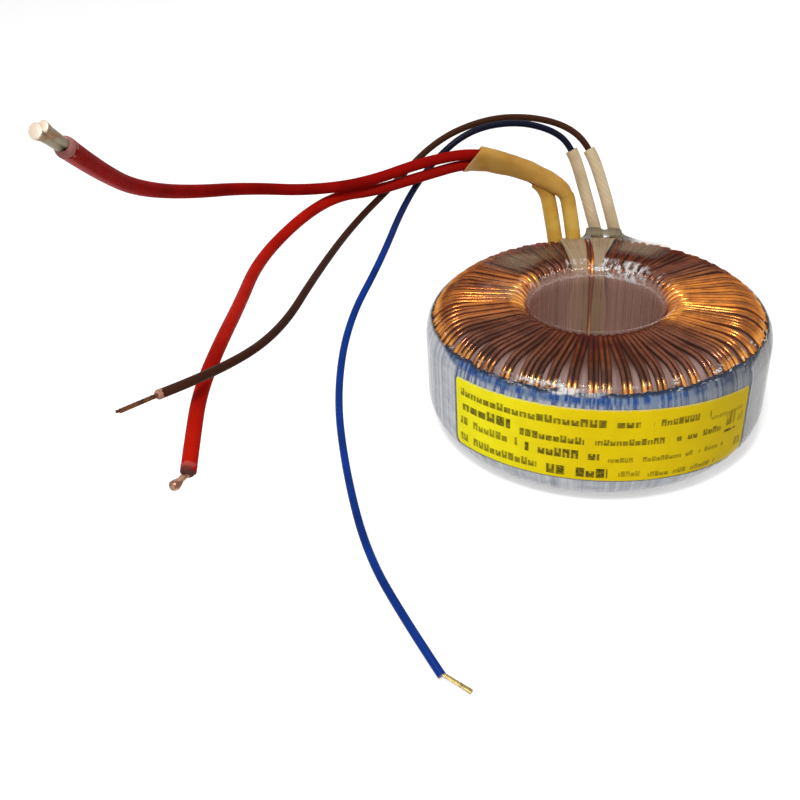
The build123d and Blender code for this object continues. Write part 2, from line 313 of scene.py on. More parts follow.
def sheet(name: str, columns: int, rows: int, place: Callable[[float, float], Vector]) -> bpy.types.Object:
    """Bends a flat grid to its place.

    Args:
        name: The piece's name.
        columns: Its faces along X.
        rows: Its faces along Y.
        place: Gives a point from X and Y, both from -0.5 to 0.5.

    Returns:
        The new object.
    """
    deselect_all()
    bpy.ops.mesh.primitive_grid_add(x_subdivisions=columns, y_subdivisions=rows, size=1.0)
    piece = bpy.context.active_object
    piece.name = piece.data.name = name
    with edit_mode(piece) as mesh:
        for vertex in mesh.verts:
            vertex.co = place(vertex.co.x, vertex.co.y)
        bmesh.update_edit_mesh(piece.data)
    return piece


def apply_modifiers(piece: bpy.types.Object) -> None:
    """Applies each modifier of a piece in turn."""
    activate(piece)
    for modifier in list(piece.modifiers):
        bpy.ops.object.modifier_apply(modifier=modifier.name)


def smooth(piece: bpy.types.Object, degrees: float = 40.0) -> None:
    """Shades a piece smooth below an angle."""
    activate(piece)
    bpy.ops.object.shade_smooth_by_angle(angle=math.radians(degrees))


def join(pieces: Sequence[bpy.types.Object], name: str) -> bpy.types.Object:
    """Joins pieces into the first of them.

    Args:
        pieces: The objects.
        name: The joined piece's name.

    Returns:
        The joined object.
    """
    activate(pieces[0])
    for piece in pieces:
        piece.select_set(True)
    bpy.ops.object.join()
    joined = bpy.context.active_object
    joined.name = joined.data.name = name
    return joined


def displace(piece: bpy.types.Object, size: float, strength: float) -> None:
    """Makes a surface slightly uneven.

    Args:
        piece: The object.
        size: The size of the lumps.
        strength: Their height from lowest to highest.
    """
    modifier = piece.modifiers.new("uneven", "DISPLACE")
    modifier.texture = bpy.data.textures.new(piece.name + "_lumps", "CLOUDS")
    modifier.texture.noise_scale = size
    modifier.texture_coords = "LOCAL"
    modifier.strength = strength
    modifier.mid_level = 0.5


def solidify(piece: bpy.types.Object, wall: float) -> None:
    """Gives a sheet its wall, inwards.

    Args:
        piece: The object.
        wall: The thickness.
    """
    modifier = piece.modifiers.new("wall", "SOLIDIFY")
    modifier.thickness = wall
    modifier.offset = -1.0
    modifier.use_even_offset = True


@dataclass
class Station:
    """One section of a tube: its centre, the way along, and its half sizes."""

    centre: Vector
    along: Vector
    across: Vector
    width: float
    depth: float

    def matrix(self) -> Matrix:
        """The place and size of the section, from a unit circle."""
        z_axis = self.along.normalized()
        y_axis = z_axis.cross(self.across).normalized()
        x_axis = y_axis.cross(z_axis)
        place = Matrix((x_axis * self.width, y_axis * self.depth, z_axis)).transposed().to_4x4()
        place.translation = self.centre
        return place


def tube_through(name: str, stations: Sequence[Station], sides: int, close: bool = False) -> bpy.types.Object:
    """Extrudes a ring through its stations.

    Args:
        name: The piece's name.
        stations: The sections, in order.
        sides: Vertices round the tube.
        close: Whether both ends are filled.

    Returns:
        The tube.
    """
    piece = circle(name, 1.0, sides)
    with edit_mode(piece) as mesh:
        bpy.ops.mesh.select_all(action="SELECT")
        if close:
            bpy.ops.mesh.edge_face_add()
        before = Matrix.Identity(4)
        for number, station in enumerate(stations):
            if number:
                bpy.ops.mesh.extrude_region_move()
                mesh = bmesh.from_edit_mesh(piece.data)
            after = station.matrix()
            step = after @ before.inverted()
            for vertex in mesh.verts:
                if vertex.select:
                    vertex.co = step @ vertex.co
            before = after
            bmesh.update_edit_mesh(piece.data)
    face_outwards(piece)
    return piece


def tube_of_rings(name: str, rings: np.ndarray) -> bpy.types.Object:
    """Extrudes a ring and moves its vertices onto given rings of points.

    Args:
        name: The piece's name.
        rings: The points, ring by ring.

    Returns:
        The open tube.
    """
    piece = circle(name, 0.001, rings.shape[1])
    with edit_mode(piece):
        bpy.ops.mesh.select_all(action="SELECT")
        extrude(0, 0.001, len(rings) - 1)
    piece.data.vertices.foreach_set("co", rings.astype(float).ravel())
    piece.data.update()
    face_outwards(piece)
    return piece


# ------------------------------------------------------------------ node helpers
class Value:
    """What one node puts out, with Python's own sums on it; a | b keeps the larger."""

    def __init__(self, graph: "Graph", socket: bpy.types.NodeSocket) -> None:
        """Holds the socket that gives it."""
        self.graph = graph
        self.socket = socket

    def __mul__(self, other: Any) -> "Value":
        """The product."""
        return self.graph.math("MULTIPLY", self, other)

    def __truediv__(self, other: Any) -> "Value":
        """The quotient."""
        return self.graph.math("DIVIDE", self, other)

    def __add__(self, other: Any) -> "Value":
        """The sum."""
        return self.graph.math("ADD", self, other)

    def __sub__(self, other: Any) -> "Value":
        """The difference."""
        return self.graph.math("SUBTRACT", self, other)

    def __rsub__(self, other: float) -> "Value":
        """The difference from a plain number."""
        return self.graph.math("SUBTRACT", other, self)

    def __pow__(self, other: float) -> "Value":
        """The power."""
        return self.graph.math("POWER", self, other)

    def __or__(self, other: Any) -> "Value":
        """The larger of the two."""
        return self.graph.math("MAXIMUM", self, other)

    def __gt__(self, other: Any) -> "Value":
        """1 where it is more, 0 elsewhere."""
        return self.graph.math("GREATER_THAN", self, other)

    def __lt__(self, other: Any) -> "Value":
        """1 where it is less, 0 elsewhere."""
        return self.graph.math("LESS_THAN", self, other)

    def __abs__(self) -> "Value":
        """Its size without its sign."""
        return self.graph.math("ABSOLUTE", self)

    def span(self, low: float, high: float, to_low: float = 0.0, to_high: float = 1.0) -> "Value":
        """Maps the range from low to high smoothly onto the one from to_low to to_high."""
        inputs = {"Value": self, 1: low, 2: high, 3: to_low, 4: to_high}
        return self.graph.get("ShaderNodeMapRange", 0, inputs, interpolation_type="SMOOTHSTEP")

    def near(self, centre: float, half: float, full: float = 0.3) -> "Value":
        """A soft mask that ends at half each side of a centre, and is full within a share of it."""
        return abs(self - centre).span(half, half * full)


class Graph:
    """Adds and links the nodes of one tree."""

    def __init__(self, tree: bpy.types.NodeTree) -> None:
        """Holds the node tree."""
        self.tree = tree

    def feed(self, socket: bpy.types.NodeSocket, value: Any) -> None:
        """Links or sets one input.

        Args:
            socket: The input.
            value: Another node's output, or a plain value.
        """
        if isinstance(value, Value):
            self.tree.links.new(value.socket, socket)
        else:
            socket.default_value = value

    def node(self, kind: str, inputs: Optional[Dict[Any, Any]] = None, **settings: Any) -> bpy.types.Node:
        """Adds one node.

        Args:
            kind: The node's type.
            inputs: What feeds its inputs, by name or number.
            settings: Its own properties.

        Returns:
            The node.
        """
        made = self.tree.nodes.new(kind)
        for key, value in settings.items():
            setattr(made, key, value)
        for key, value in (inputs or {}).items():
            self.feed(made.inputs[key], value)
        return made

    def get(self, kind: str, output: Any, inputs: Optional[Dict[Any, Any]] = None, **settings: Any) -> Value:
        """One output, by name or number, of a new node."""
        return Value(self, self.node(kind, inputs, **settings).outputs[output])

    def math(self, operation: str, first: Any, second: Any = 0.0, clamp: bool = False) -> Value:
        """One sum of two inputs, kept from 0 to 1 if it is clamped."""
        return self.get("ShaderNodeMath", 0, {0: first, 1: second}, operation=operation, use_clamp=clamp)

    def vector(self, operation: str, output: Any, first: Any, second: Any = (0, 0, 0)) -> Value:
        """One output of a sum of vectors."""
        return self.get("ShaderNodeVectorMath", output, {0: first, 1: second}, operation=operation)

    def parts(self, vector: Value) -> List[Value]:
        """The three parts of a vector."""
        return [Value(self, part) for part in self.node("ShaderNodeSeparateXYZ", {0: vector}).outputs]

    def attribute(self, name: str) -> Value:
        """A number that the mesh carries."""
        return self.get("ShaderNodeAttribute", "Fac", attribute_name=name)

    def own(self, output: str = "Object") -> Value:
        """The object's own coordinates, or its normal."""
        return self.get("ShaderNodeTexCoord", output)

    def place(self, scale: Point = (1, 1, 1)) -> Value:
        """The object's own coordinates, scaled along each axis."""
        return self.get("ShaderNodeMapping", 0, {"Vector": self.own(), "Scale": scale})

    def noise(self, vector: Value, scale: float, detail: float = 2.0, rough: float = 0.5) -> Value:
        """Soft noise from 0 to 1."""
        inputs = {"Vector": vector, "Scale": scale, "Detail": detail, "Roughness": rough}
        return self.get("ShaderNodeTexNoise", 0, inputs)

    def mix(self, share: Value, first: Any, second: Any) -> Value:
        """Blends two colours by the share of the second."""
        return self.get("ShaderNodeMix", 2, {0: share, 6: first, 7: second}, data_type="RGBA")

    def bump(self, height: Value, strength: float, distance: float) -> Value:
        """A normal from a height of 0 to 1 whose full step is a distance in metres."""
        return self.get("ShaderNodeBump", 0, {"Height": height, "Strength": strength, "Distance": distance})

    def group(self, tree: bpy.types.NodeTree, **inputs: Any) -> Dict[str, Value]:
        """Places a shared node group.

        Args:
            tree: The group's tree.
            inputs: What feeds its inputs.

        Returns:
            Each of its outputs by name.
        """
        made = self.node("ShaderNodeGroup", node_tree=tree)
        for key, value in inputs.items():
            self.feed(made.inputs[key], value)
        return {socket.name: Value(self, socket) for socket in made.outputs}

    def seen(self) -> Value:
        """1 for rays that come straight, mirrored or through glass from the camera, 0 for others."""
        rays = self.node("ShaderNodeLightPath").outputs
        straight, mirrored = Value(self, rays["Is Camera Ray"]), Value(self, rays["Is Glossy Ray"])
        return straight | mirrored | Value(self, rays["Is Transmission Ray"])


class SharedGroup:
    """A node group that several materials share, while it is made."""

    def __init__(self, name: str, inputs: Dict[str, float], outputs: Dict[str, str]) -> None:
        """Starts the group.

        Args:
            name: The group's name.
            inputs: Each float input and its default.
            outputs: Each output and the last word of its socket type.
        """
        self.tree = bpy.data.node_groups.new(name, "ShaderNodeTree")
        for key, value in inputs.items():
            socket = self.tree.interface.new_socket(name=key, in_out="INPUT", socket_type="NodeSocketFloat")
            socket.default_value = value
        for key, kind in outputs.items():
            self.tree.interface.new_socket(name=key, in_out="OUTPUT", socket_type="NodeSocket" + kind)
        self.graph = Graph(self.tree)
        given = self.graph.node("NodeGroupInput").outputs
        self.given = {key: Value(self.graph, given[key]) for key in inputs}
        self.out = self.graph.node("NodeGroupOutput")

    def done(self, **values: Value) -> bpy.types.NodeTree:
        """Feeds the outputs.

        Args:
            values: What each output gives.

        Returns:
            The group's tree.
        """
        for key, value in values.items():
            self.graph.feed(self.out.inputs[key], value)
        return self.tree


@lru_cache(maxsize=None)
def ring_place() -> bpy.types.NodeTree:
    """Where a point lies round the toroid.

    Returns:
        The group, which puts out Round (a vector without a seam), Angle, Radius, Height, and
        Arched, the height as it runs along the label.
    """
    kinds = {"Round": "Vector", "Angle": "Float", "Radius": "Float", "Height": "Float", "Arched": "Float"}
    shared = SharedGroup("Ring place", {}, kinds)
    graph = shared.graph
    x, y, height = graph.parts(graph.own())
    flat = graph.get("ShaderNodeCombineXYZ", 0, {0: x, 1: y})
    way = graph.vector("NORMALIZE", 0, flat)
    sideways, ahead, _ = graph.parts(way)
    angle = graph.math("ARCTAN2", sideways, ahead * -1.0)
    arched = height + abs(angle - LABEL.middle) ** 2.0 * LABEL.arch
    radius = graph.vector("LENGTH", "Value", flat)
    return shared.done(Round=way, Angle=angle, Arched=arched, Radius=radius, Height=height)


@lru_cache(maxsize=None)
def print_line() -> bpy.types.NodeTree:
    """One line of made-up print: uneven blocks in words, which spell nothing.

    Returns:
        The group. Centre and Tall are in metres, Start and End in radians, Pitch is a
        block's width in metres, Weight is the ink and Seed the pattern; it puts out Mark.
    """
    feeds = {"Centre": 0.02, "Tall": 0.002, "Start": -1.0, "End": 1.0, "Pitch": 0.0016}
    feeds.update(Weight=1.0, Seed=0.0)
    shared = SharedGroup("Print line", feeds, {"Mark": "Float"})
    graph, given = shared.graph, shared.given
    ring = graph.group(ring_place())
    along = ring["Angle"] * LABEL.print_radius / given["Pitch"]
    block = graph.get("ShaderNodeCombineXYZ", 0, {0: graph.math("FLOOR", along), 1: given["Seed"]})
    drawn = graph.get("ShaderNodeTexWhiteNoise", "Color", {"Vector": block}, noise_dimensions="3D")
    tall, lettered, holed = graph.parts(drawn)
    across = graph.math("FRACT", along)
    up = (ring["Arched"] - given["Centre"]) / given["Tall"]
    body = (up > -0.5) * (up < tall.span(0.45, 0.5, 0.22, 0.5))
    sides = graph.math("MINIMUM", across, 1.0 - across).span(0.02, 0.16, 0.15, 1.0)
    slit = abs(across - 0.5).span(0.2, 0.08) * (holed > 0.35)
    slit = slit * (up * lettered.span(0.5, 0.52, -1.0, 1.0)).span(-0.12, 0.02)
    ink = body * sides * slit.span(0.0, 1.0, 1.0, 0.35)
    inside = (ring["Angle"] > given["Start"]) * (lettered > 0.12) * (ring["Angle"] < given["End"])
    return shared.done(Mark=ink * inside * given["Weight"])


@lru_cache(maxsize=None)
def mottle() -> bpy.types.NodeTree:
    """Broken patches at two sizes, for dirt, print wear and uneven dye.

    Returns:
        The group, which takes Scale and puts out Patches and Grain.
    """
    shared = SharedGroup("Mottle", {"Scale": 200.0}, {"Patches": "Float", "Grain": "Float"})
    graph, scale = shared.graph, shared.given["Scale"]
    place = graph.own()
    patches = graph.noise(place, scale, 4.0, 0.6).span(0.35, 0.68)
    return shared.done(Patches=patches, Grain=graph.noise(place, scale * 9.0, 3.0, 0.7))


# ---------------------------------------------------------------------- finishes
class Finish:
    """A material with one Principled shader."""

    name = "finish"

    def __init__(self) -> None:
        """Has no material until it is first asked for."""
        self._material: Optional[bpy.types.Material] = None

    def material(self) -> bpy.types.Material:
        """The finish's material, made once.

        Returns:
            The material.
        """
        if self._material is None:
            made = bpy.data.materials.new(self.name)
            made.use_nodes = True
            made.node_tree.nodes.clear()
            graph = Graph(made.node_tree)
            shader = graph.node("ShaderNodeBsdfPrincipled")
            out = graph.node("ShaderNodeOutputMaterial")
            made.node_tree.links.new(shader.outputs[0], out.inputs["Surface"])
            for key, value in self.paint(graph).items():
                graph.feed(shader.inputs[key], value)
            self._material = made
        return self._material

    def paint(self, graph: Graph) -> Dict[str, Any]:
        """Works out the look."""
        raise NotImplementedError

    def dress(self, piece: bpy.types.Object) -> None:
        """Puts the material on every slot of a piece.

        Args:
            piece: The object.
        """
        if not piece.material_slots:
            piece.data.materials.append(self.material())
        for slot in piece.material_slots:
            slot.material = self.material()


class EnamelledCopper(Finish):
    """Round copper wire under clear enamel, each strand a little different."""

    name = "enamelled_copper"
    # lit and shaded copies of the copper, painted golden glints and a painted glow
    painted_glint_gold: Colour = (0.95, 0.42, 0.085, 1)
    lit_side_amber: Colour = (0.66, 0.215, 0.028, 1)
    lit_side_brown: Colour = (0.20, 0.055, 0.011, 1)
    shaded_mauve: Colour = (0.16, 0.064, 0.040, 1)
    shaded_umber: Colour = (0.055, 0.020, 0.013, 1)
    painted_glow: Colour = (0.19, 0.105, 0.082, 1)
    # where the painted highlight lies on the sides and in a narrow strip at the back: centre angle and half width
    lit_right_side: Tuple[float, float] = (1.45, 0.75)
    lit_left_side: Tuple[float, float] = (-1.72, 0.85)
    back: Tuple[float, float] = (3.14, 0.13)

    def paint(self, graph: Graph) -> Dict[str, Any]:
        """Varies colour by strand and along it, and paints the light: amber on the sides where the wires catch the
        lamp, mauve in shade at the front, glints at both rims.

        Args:
            graph: The material's nodes.

        Returns:
            What feeds each input of the Principled node.
        """
        strand = graph.attribute("strand")
        patches = graph.group(mottle(), Scale=90.0)
        share = (strand * 0.7 + patches["Patches"]).span(0.2, 1.5)
        ring = graph.group(ring_place())
        angle, radius = ring["Angle"], ring["Radius"]
        # painted highlight on the sides and a narrow strip at the back, where the wires run across the light;
        # elsewhere the copper is painted as shaded
        behind, half = self.back
        right = angle.near(*self.lit_right_side, 0.35)
        left = angle.near(*self.lit_left_side, 0.35)
        back = angle.near(behind, half, 0.35) | angle.near(-behind, half, 0.35)
        bands = graph.noise(ring["Round"], 9.0, 3.0, 0.6).span(0.38, 0.58, 0.55, 1.0)
        sideways = (right | left * 0.78 | back) * bands
        # painted golden glints along the inner and outer rims
        inner = radius.span(0.0262, 0.0236) * strand.span(0.25, 0.55) * sideways.span(0.2, 0.7, 0.0, 0.85)
        outer = radius.span(0.0444, 0.0468) * strand.span(0.15, 0.6, 0.25, 0.75)
        golden = inner | right * 0.10 | outer
        light = graph.mix(sideways, self.shaded_mauve, self.lit_side_amber)
        dark = graph.mix(sideways, self.shaded_umber, self.lit_side_brown)
        return {
            "Base Color": graph.mix(golden, graph.mix(share, light, dark), self.painted_glint_gold),
            # a faint painted glow that lifts the shade between the wires
            "Emission Color": self.painted_glow,
            "Emission Strength": 0.16,
            "Roughness": patches["Grain"].span(0.3, 0.7, 0.14, 0.24),
            "Normal": graph.bump(patches["Grain"], 0.08, 0.00005),
            "Metallic": 1.0,
            "Specular Tint": (0.62, 0.28, 0.10, 1),
        }


class ClearFilm(Finish):
    """Clear polyester film: a mirror at a glancing angle, milky where it lies loose."""

    name = "clear_film"
    tint: Colour = (0.62, 0.65, 0.70, 1)
    shadow_tint: Colour = (0.295, 0.29, 0.295, 1)
    bore_tint: Colour = (0.66, 0.40, 0.33, 1)
    veil_sheen_tint: Colour = (0.36, 0.26, 0.13, 1)
    pink_highlight_tint: Colour = (0.80, 0.62, 0.56, 1)
    bright_tint: Colour = (0.96, 0.96, 0.97, 1)
    cut_height: float = 0.0362
    brink_radius: float = 0.0228
    # each sheet's angle, half its width, its inner and outer radius, and its strength
    veils: Sequence[Tuple[float, float, float, float, float]] = (
        (-2.45, 0.50, 0.024, 0.044, 0.34),
        (-1.62, 0.30, 0.021, 0.036, 0.42),
        (2.74, 0.30, 0.028, 0.056, 0.36),
    )

    def paint(self, graph: Graph) -> Dict[str, Any]:
        """Makes the film clear on top and over the label, milky and streaked down the walls.

        Args:
            graph: The material's nodes.

        Returns:
            What feeds each input of the Principled node.
        """
        ring = graph.group(ring_place())
        around, height, radius, angle = (ring[key] for key in ("Round", "Height", "Radius", "Angle"))
        sideways = abs(angle)
        streaks = graph.noise(around, 26.0, 5.0, 0.65)
        fine = graph.noise(around, 150.0, 2.0)
        drift = graph.get("ShaderNodeCombineXYZ", 0, {2: height * 60.0})
        spread = graph.vector("ADD", 0, around, drift)
        patches = graph.noise(spread, 7.0, 4.0, 0.6)
        folds = graph.noise(spread, 12.0, 3.0, 0.55)

        wall = self._wall(graph, ring, sideways)
        wall = wall * streaks.span(0.3, 0.7, 0.50, 0.95) * patches.span(0.25, 0.6, 0.75, 1.0)
        bore = radius.span(0.0212, 0.0193) * fine.span(0.36, 0.64, 0.34, 0.62)
        bore = bore * sideways.span(2.86, 3.00, 1.0, 0.4)

        # painted white glare along both rims, standing in for creases that catch the light
        rim = radius.span(0.0425, 0.0440) * height.span(0.0342, 0.0350) * height.span(0.0382, 0.0366)
        lip = radius.span(0.0252, 0.0232) * height.span(0.0352, 0.0366)
        ledge = rim * height.span(0.0371, 0.0364)
        crumple = graph.noise(spread, 26.0, 3.0, 0.55)
        painted_glare = rim * crumple.span(0.60, 0.66, 0.0, 0.7) * angle.span(0.2, 0.6, 0.4, 1.0)
        wires = graph.noise(around, 70.0, 2.0).span(0.40, 0.58, 0.35, 1.0)
        front, back = angle.near(-0.25, 0.40), angle.near(2.78, 0.62)
        for place, share, low, most in ((ledge, front, 0.41, 0.72), (lip, back, 0.44, 0.78)):
            painted_glare = painted_glare | place * share * wires * folds.span(low, low + 0.16, 0.0, most)

        # the cut edge in the bore, pink where it lies on the wire, and pink patches at the inner rim: the edge is
        # real, its pale pink is painted highlight
        wobble = (streaks - 0.5) * 0.0030
        edge = abs(height + wobble - self.cut_height).span(0.00030, 0.00008, 0.0, 0.6)
        edge = edge * radius.span(0.0225, 0.0215) * sideways.span(1.5, 1.8)
        brink = abs(radius + wobble - self.brink_radius).span(0.00034, 0.00012, 0.0, 0.8)
        brink = brink * height.span(0.037, 0.038) * angle.near(0.28, 1.35)
        pinks = lip * sideways.span(1.3, 1.8, 0.0, 0.6) * folds.span(0.55, 0.66)
        pinks = pinks | (edge | brink) * patches.span(0.30, 0.50, 0.45, 1.0)

        # sheets of loose film over the copper, their olive sheen painted
        veil: Any = 0.0
        for centre, half, inner, outer, strength in self.veils:
            here = radius.span(inner, inner + 0.005) * radius.span(outer, outer - 0.012)
            veil = here * angle.near(centre, half) * strength | veil
        soft = graph.noise(graph.place(), 75.0, 3.0, 0.6)
        veil = veil * soft.span(0.30, 0.62, 0.25, 1.0) * height.span(0.034, 0.037)

        milky = wall | bore | painted_glare | pinks | veil
        glance = graph.get("ShaderNodeLayerWeight", "Facing", {"Blend": 0.5}) ** 5.0
        glance = glance.span(0.06, 1.0) * height.span(0.0300, 0.0350, 0.8, 0.22)
        seen = graph.math("ADD", milky, (1.0 - milky) * glance, clamp=True)
        facing = 1.0 - graph.get("ShaderNodeNewGeometry", "Backfacing")
        tint = graph.mix(angle.span(0.80, 1.10) * angle.span(3.0, 2.3), self.tint, self.shadow_tint)
        tint = graph.mix(radius.span(0.0225, 0.0205), tint, self.bore_tint)
        tint = graph.mix(veil.span(0.01, 0.10), tint, self.veil_sheen_tint)
        tint = graph.mix(pinks.span(0.05, 0.3), tint, self.pink_highlight_tint)
        # white for the clear film's mirror, and for the painted glare
        bright = milky.span(0.12, 0.0) | painted_glare.span(0.02, 0.15)
        return {
            "Alpha": seen * facing,
            "Base Color": graph.mix(bright, tint, self.bright_tint),
            "Metallic": milky.span(0.02, 0.20, 1.0, 0.0),
            "Roughness": fine.span(0.3, 0.7, 0.04, 0.14),
            "Normal": graph.bump(streaks * 0.7 + fine * 0.3, 0.4, 0.0010),
        }

    @staticmethod
    def _wall(graph: Graph, ring: Dict[str, Value], sideways: Value) -> Value:
        """Where the film hangs loose: the wall off the label, from the rim down round the bottom corner.

        Args:
            graph: The material's nodes.
            ring: The place round the toroid.
            sideways: The angle without its sign.

        Returns:
            The mask.
        """
        height, radius, angle, arched = (ring[key] for key in ("Height", "Radius", "Angle", "Arched"))
        right = angle.span(LABEL.right - 0.012, LABEL.right + 0.02)
        left = angle.span(LABEL.left + 0.012, LABEL.left - 0.02)
        below = arched.span(LABEL.low + 0.0003, LABEL.low - 0.0002)
        above = arched.span(LABEL.high - 0.0004, LABEL.high + 0.0001) * angle.span(-0.2, 0.5, 1.0, 0.40)
        above = above * graph.noise(ring["Round"], 42.0, 2.0).span(0.46, 0.54, 0.12, 0.75)
        outside = radius.span(0.0455, 0.0480) | radius.span(0.036, 0.042) * height.span(0.022, 0.018)
        under_rim = (height - sideways.span(0.87, 1.10, 0.0328, 0.0346)).span(0.0008, -0.0006)
        return outside * under_rim * (left | right | below | above)


class InnerFilm(Finish):
    """The film between the windings: greyish pink over the primary."""

    name = "interwinding_film"
    pinks: Tuple[Colour, Colour] = ((0.24, 0.15, 0.13, 1), (0.40, 0.28, 0.26, 1))
    # painted shade between the turns, towards the middle of the top
    shade_between_turns: Colour = (0.15, 0.068, 0.048, 1)

    def paint(self, graph: Graph) -> Dict[str, Any]:
        """Gives the film a soft uneven sheen, and paints it dark towards the middle as shade between the turns.

        Args:
            graph: The material's nodes.

        Returns:
            What feeds each input of the Principled node.
        """
        ring = graph.group(ring_place())
        bands = graph.noise(ring["Round"], 30.0, 3.0)
        pink = graph.mix(bands.span(0.35, 0.65), *self.pinks)
        return {
            "Base Color": graph.mix(ring["Radius"].span(0.036, 0.046), self.shade_between_turns, pink),
            "Roughness": bands.span(0.3, 0.7, 0.18, 0.4),
            "Specular IOR Level": 0.03,
            "Normal": graph.bump(bands, 0.4, 0.0005),
        }


class BlueTape(Finish):
    """Blue polyester tape, paler where it has lifted from the wire."""

    name = "blue_tape"
    deep: Colour = (0.018, 0.066, 0.25, 1)
    pale: Colour = (0.19, 0.26, 0.36, 1)
    grey_deep: Colour = (0.045, 0.062, 0.100, 1)
    grey_pale: Colour = (0.19, 0.20, 0.22, 1)
    navy: Colour = (0.020, 0.030, 0.060, 1)

    def paint(self, graph: Graph) -> Dict[str, Any]:
        """Patches pale blue over deep blue, greyer to the right and dark along the upper edge.

        Args:
            graph: The material's nodes.

        Returns:
            What feeds each input of the Principled node.
        """
        ring = graph.group(ring_place())
        patches = graph.group(mottle(), Scale=320.0)["Patches"]
        streaks = graph.noise(ring["Round"], 34.0, 2.0, 0.5)
        blocks = graph.noise(ring["Round"], 30.0, 2.0).span(0.54, 0.57)
        share = patches * streaks.span(0.45, 0.60) | blocks * 0.8
        to_right = ring["Angle"].span(0.2, 0.8)
        deep = graph.mix(to_right, self.deep, self.grey_deep)
        pale = graph.mix(to_right, self.pale, self.grey_pale)
        edge = graph.attribute("rise").span(0.955, 0.985)
        return {
            "Base Color": graph.mix(edge, graph.mix(share, deep, pale), self.navy),
            "Specular IOR Level": 0.2,
            "Roughness": streaks.span(0.3, 0.7, 0.2, 0.45),
            "Normal": graph.bump(streaks, 0.5, 0.0006),
        }


@dataclass(frozen=True)
class Line:
    """A stretch of print: its place round and up the ring in degrees and millimetres."""

    start: float
    end: float
    centre: float
    tall: float
    pitch: float
    weight: float = 0.9


class PrintedLabel(Finish):
    """A yellow paper label with rows of plain dark marks."""

    name = "yellow_label"
    lit_left_yellow: Colour = (0.98, 0.89, 0.014, 1)
    paper: Colour = (0.78, 0.58, 0.004, 1)
    shaded_right_yellow: Colour = (0.60, 0.43, 0.006, 1)
    dirt: Colour = (0.45, 0.30, 0.01, 1)
    ink: Colour = (0.030, 0.022, 0.008, 1)
    lines: Sequence[Line] = (
        Line(-47.5, 12.5, 27.6, 2.4, 2.3), Line(16.5, 36, 27.4, 2.1, 1.6, 0.85),
        Line(36, 51, 25.9, 1.2, 1.0, 0.5), Line(-47, -27, 23.2, 3.0, 3.1, 1.0),
        Line(-23.8, -3.7, 21.9, 2.3, 1.9), Line(-0.5, 41, 21.9, 2.0, 1.6, 0.85),
        Line(-48, -24.5, 18.2, 2.5, 2.0, 0.8), Line(-22, 1, 17.5, 2.8, 2.2, 1.0),
        Line(3.5, 30.5, 16.3, 1.6, 1.2, 0.7), Line(33, 43, 16.3, 1.6, 1.2, 0.6),
        Line(-48, -18, 12.6, 2.5, 2.0, 0.85), Line(-15, 3.7, 11.9, 3.0, 2.6, 1.0),
        Line(7, 13.5, 11.8, 1.8, 1.3, 0.6), Line(16, 40, 11.3, 1.7, 1.3, 0.65),
        Line(43.2, 47.2, 23.9, 4.4, 3.6, 0.7), Line(42.8, 48, 20.0, 0.8, 5.0, 1.0),
        Line(48.2, 52.0, 15.5, 3.4, 3.2, 0.6), Line(49.0, 51.5, 23.0, 3.0, 2.4, 0.45),
    )

    def paint(self, graph: Graph) -> Dict[str, Any]:
        """Prints the rows of blocks on the paper.

        Args:
            graph: The material's nodes.

        Returns:
            What feeds each input of the Principled node.
        """
        marks: Any = 0.0
        for number, line in enumerate(self.lines):
            sizes = {"Centre": line.centre * MM, "Tall": line.tall * MM, "Pitch": line.pitch * MM}
            ends = {"Start": math.radians(line.start), "End": math.radians(line.end)}
            row = graph.group(print_line(), **sizes, **ends, Weight=line.weight, Seed=3.7 + number)
            marks = row["Mark"] | marks
        patches = graph.group(mottle(), Scale=160.0)
        grain = patches["Grain"]
        angle = graph.group(ring_place())["Angle"]
        # painted light: brighter towards the lit left end, darker towards the shaded right end
        paper = graph.mix(angle.span(0.05, -0.75), self.paper, self.lit_left_yellow)
        paper = graph.mix(angle.span(0.15, 0.85), paper, self.shaded_right_yellow)
        paper = graph.mix(patches["Patches"].span(0.0, 1.0, 0.0, 0.12), paper, self.dirt)
        return {
            "Base Color": graph.mix(marks * grain.span(0.3, 0.75, 1.0, 0.6), paper, self.ink),
            "Roughness": grain.span(0.3, 0.7, 0.4, 0.6),
            "Normal": graph.bump(grain, 0.2, 0.00005),
            "Specular IOR Level": 0.03,
        }


class ClothTape(Finish):
    """Greyish white cloth tape."""

    name = "white_tape"
    clean: Colour = (0.40, 0.29, 0.17, 1)
    dirty: Colour = (0.17, 0.10, 0.055, 1)

    def paint(self, graph: Graph) -> Dict[str, Any]:
        """Weaves the tape at a fine pitch.

        Args:
            graph: The material's nodes.

        Returns:
            What feeds each input of the Principled node.
        """
        inputs = {"Vector": graph.place(), "Scale": 900.0, "Distortion": 1.0}
        weave = graph.get("ShaderNodeTexWave", 1, inputs)
        patches = graph.group(mottle(), Scale=90.0)["Patches"]
        pulled = graph.noise(graph.group(ring_place())["Round"], 70.0, 4.0, 0.7)
        share = pulled.span(0.36, 0.62) * patches.span(0, 1, 0.5, 1)
        return {
            "Base Color": graph.mix(share, self.clean, self.dirty),
            "Normal": graph.bump(weave, 0.3, 0.0001),
            "Roughness": 0.55,
        }


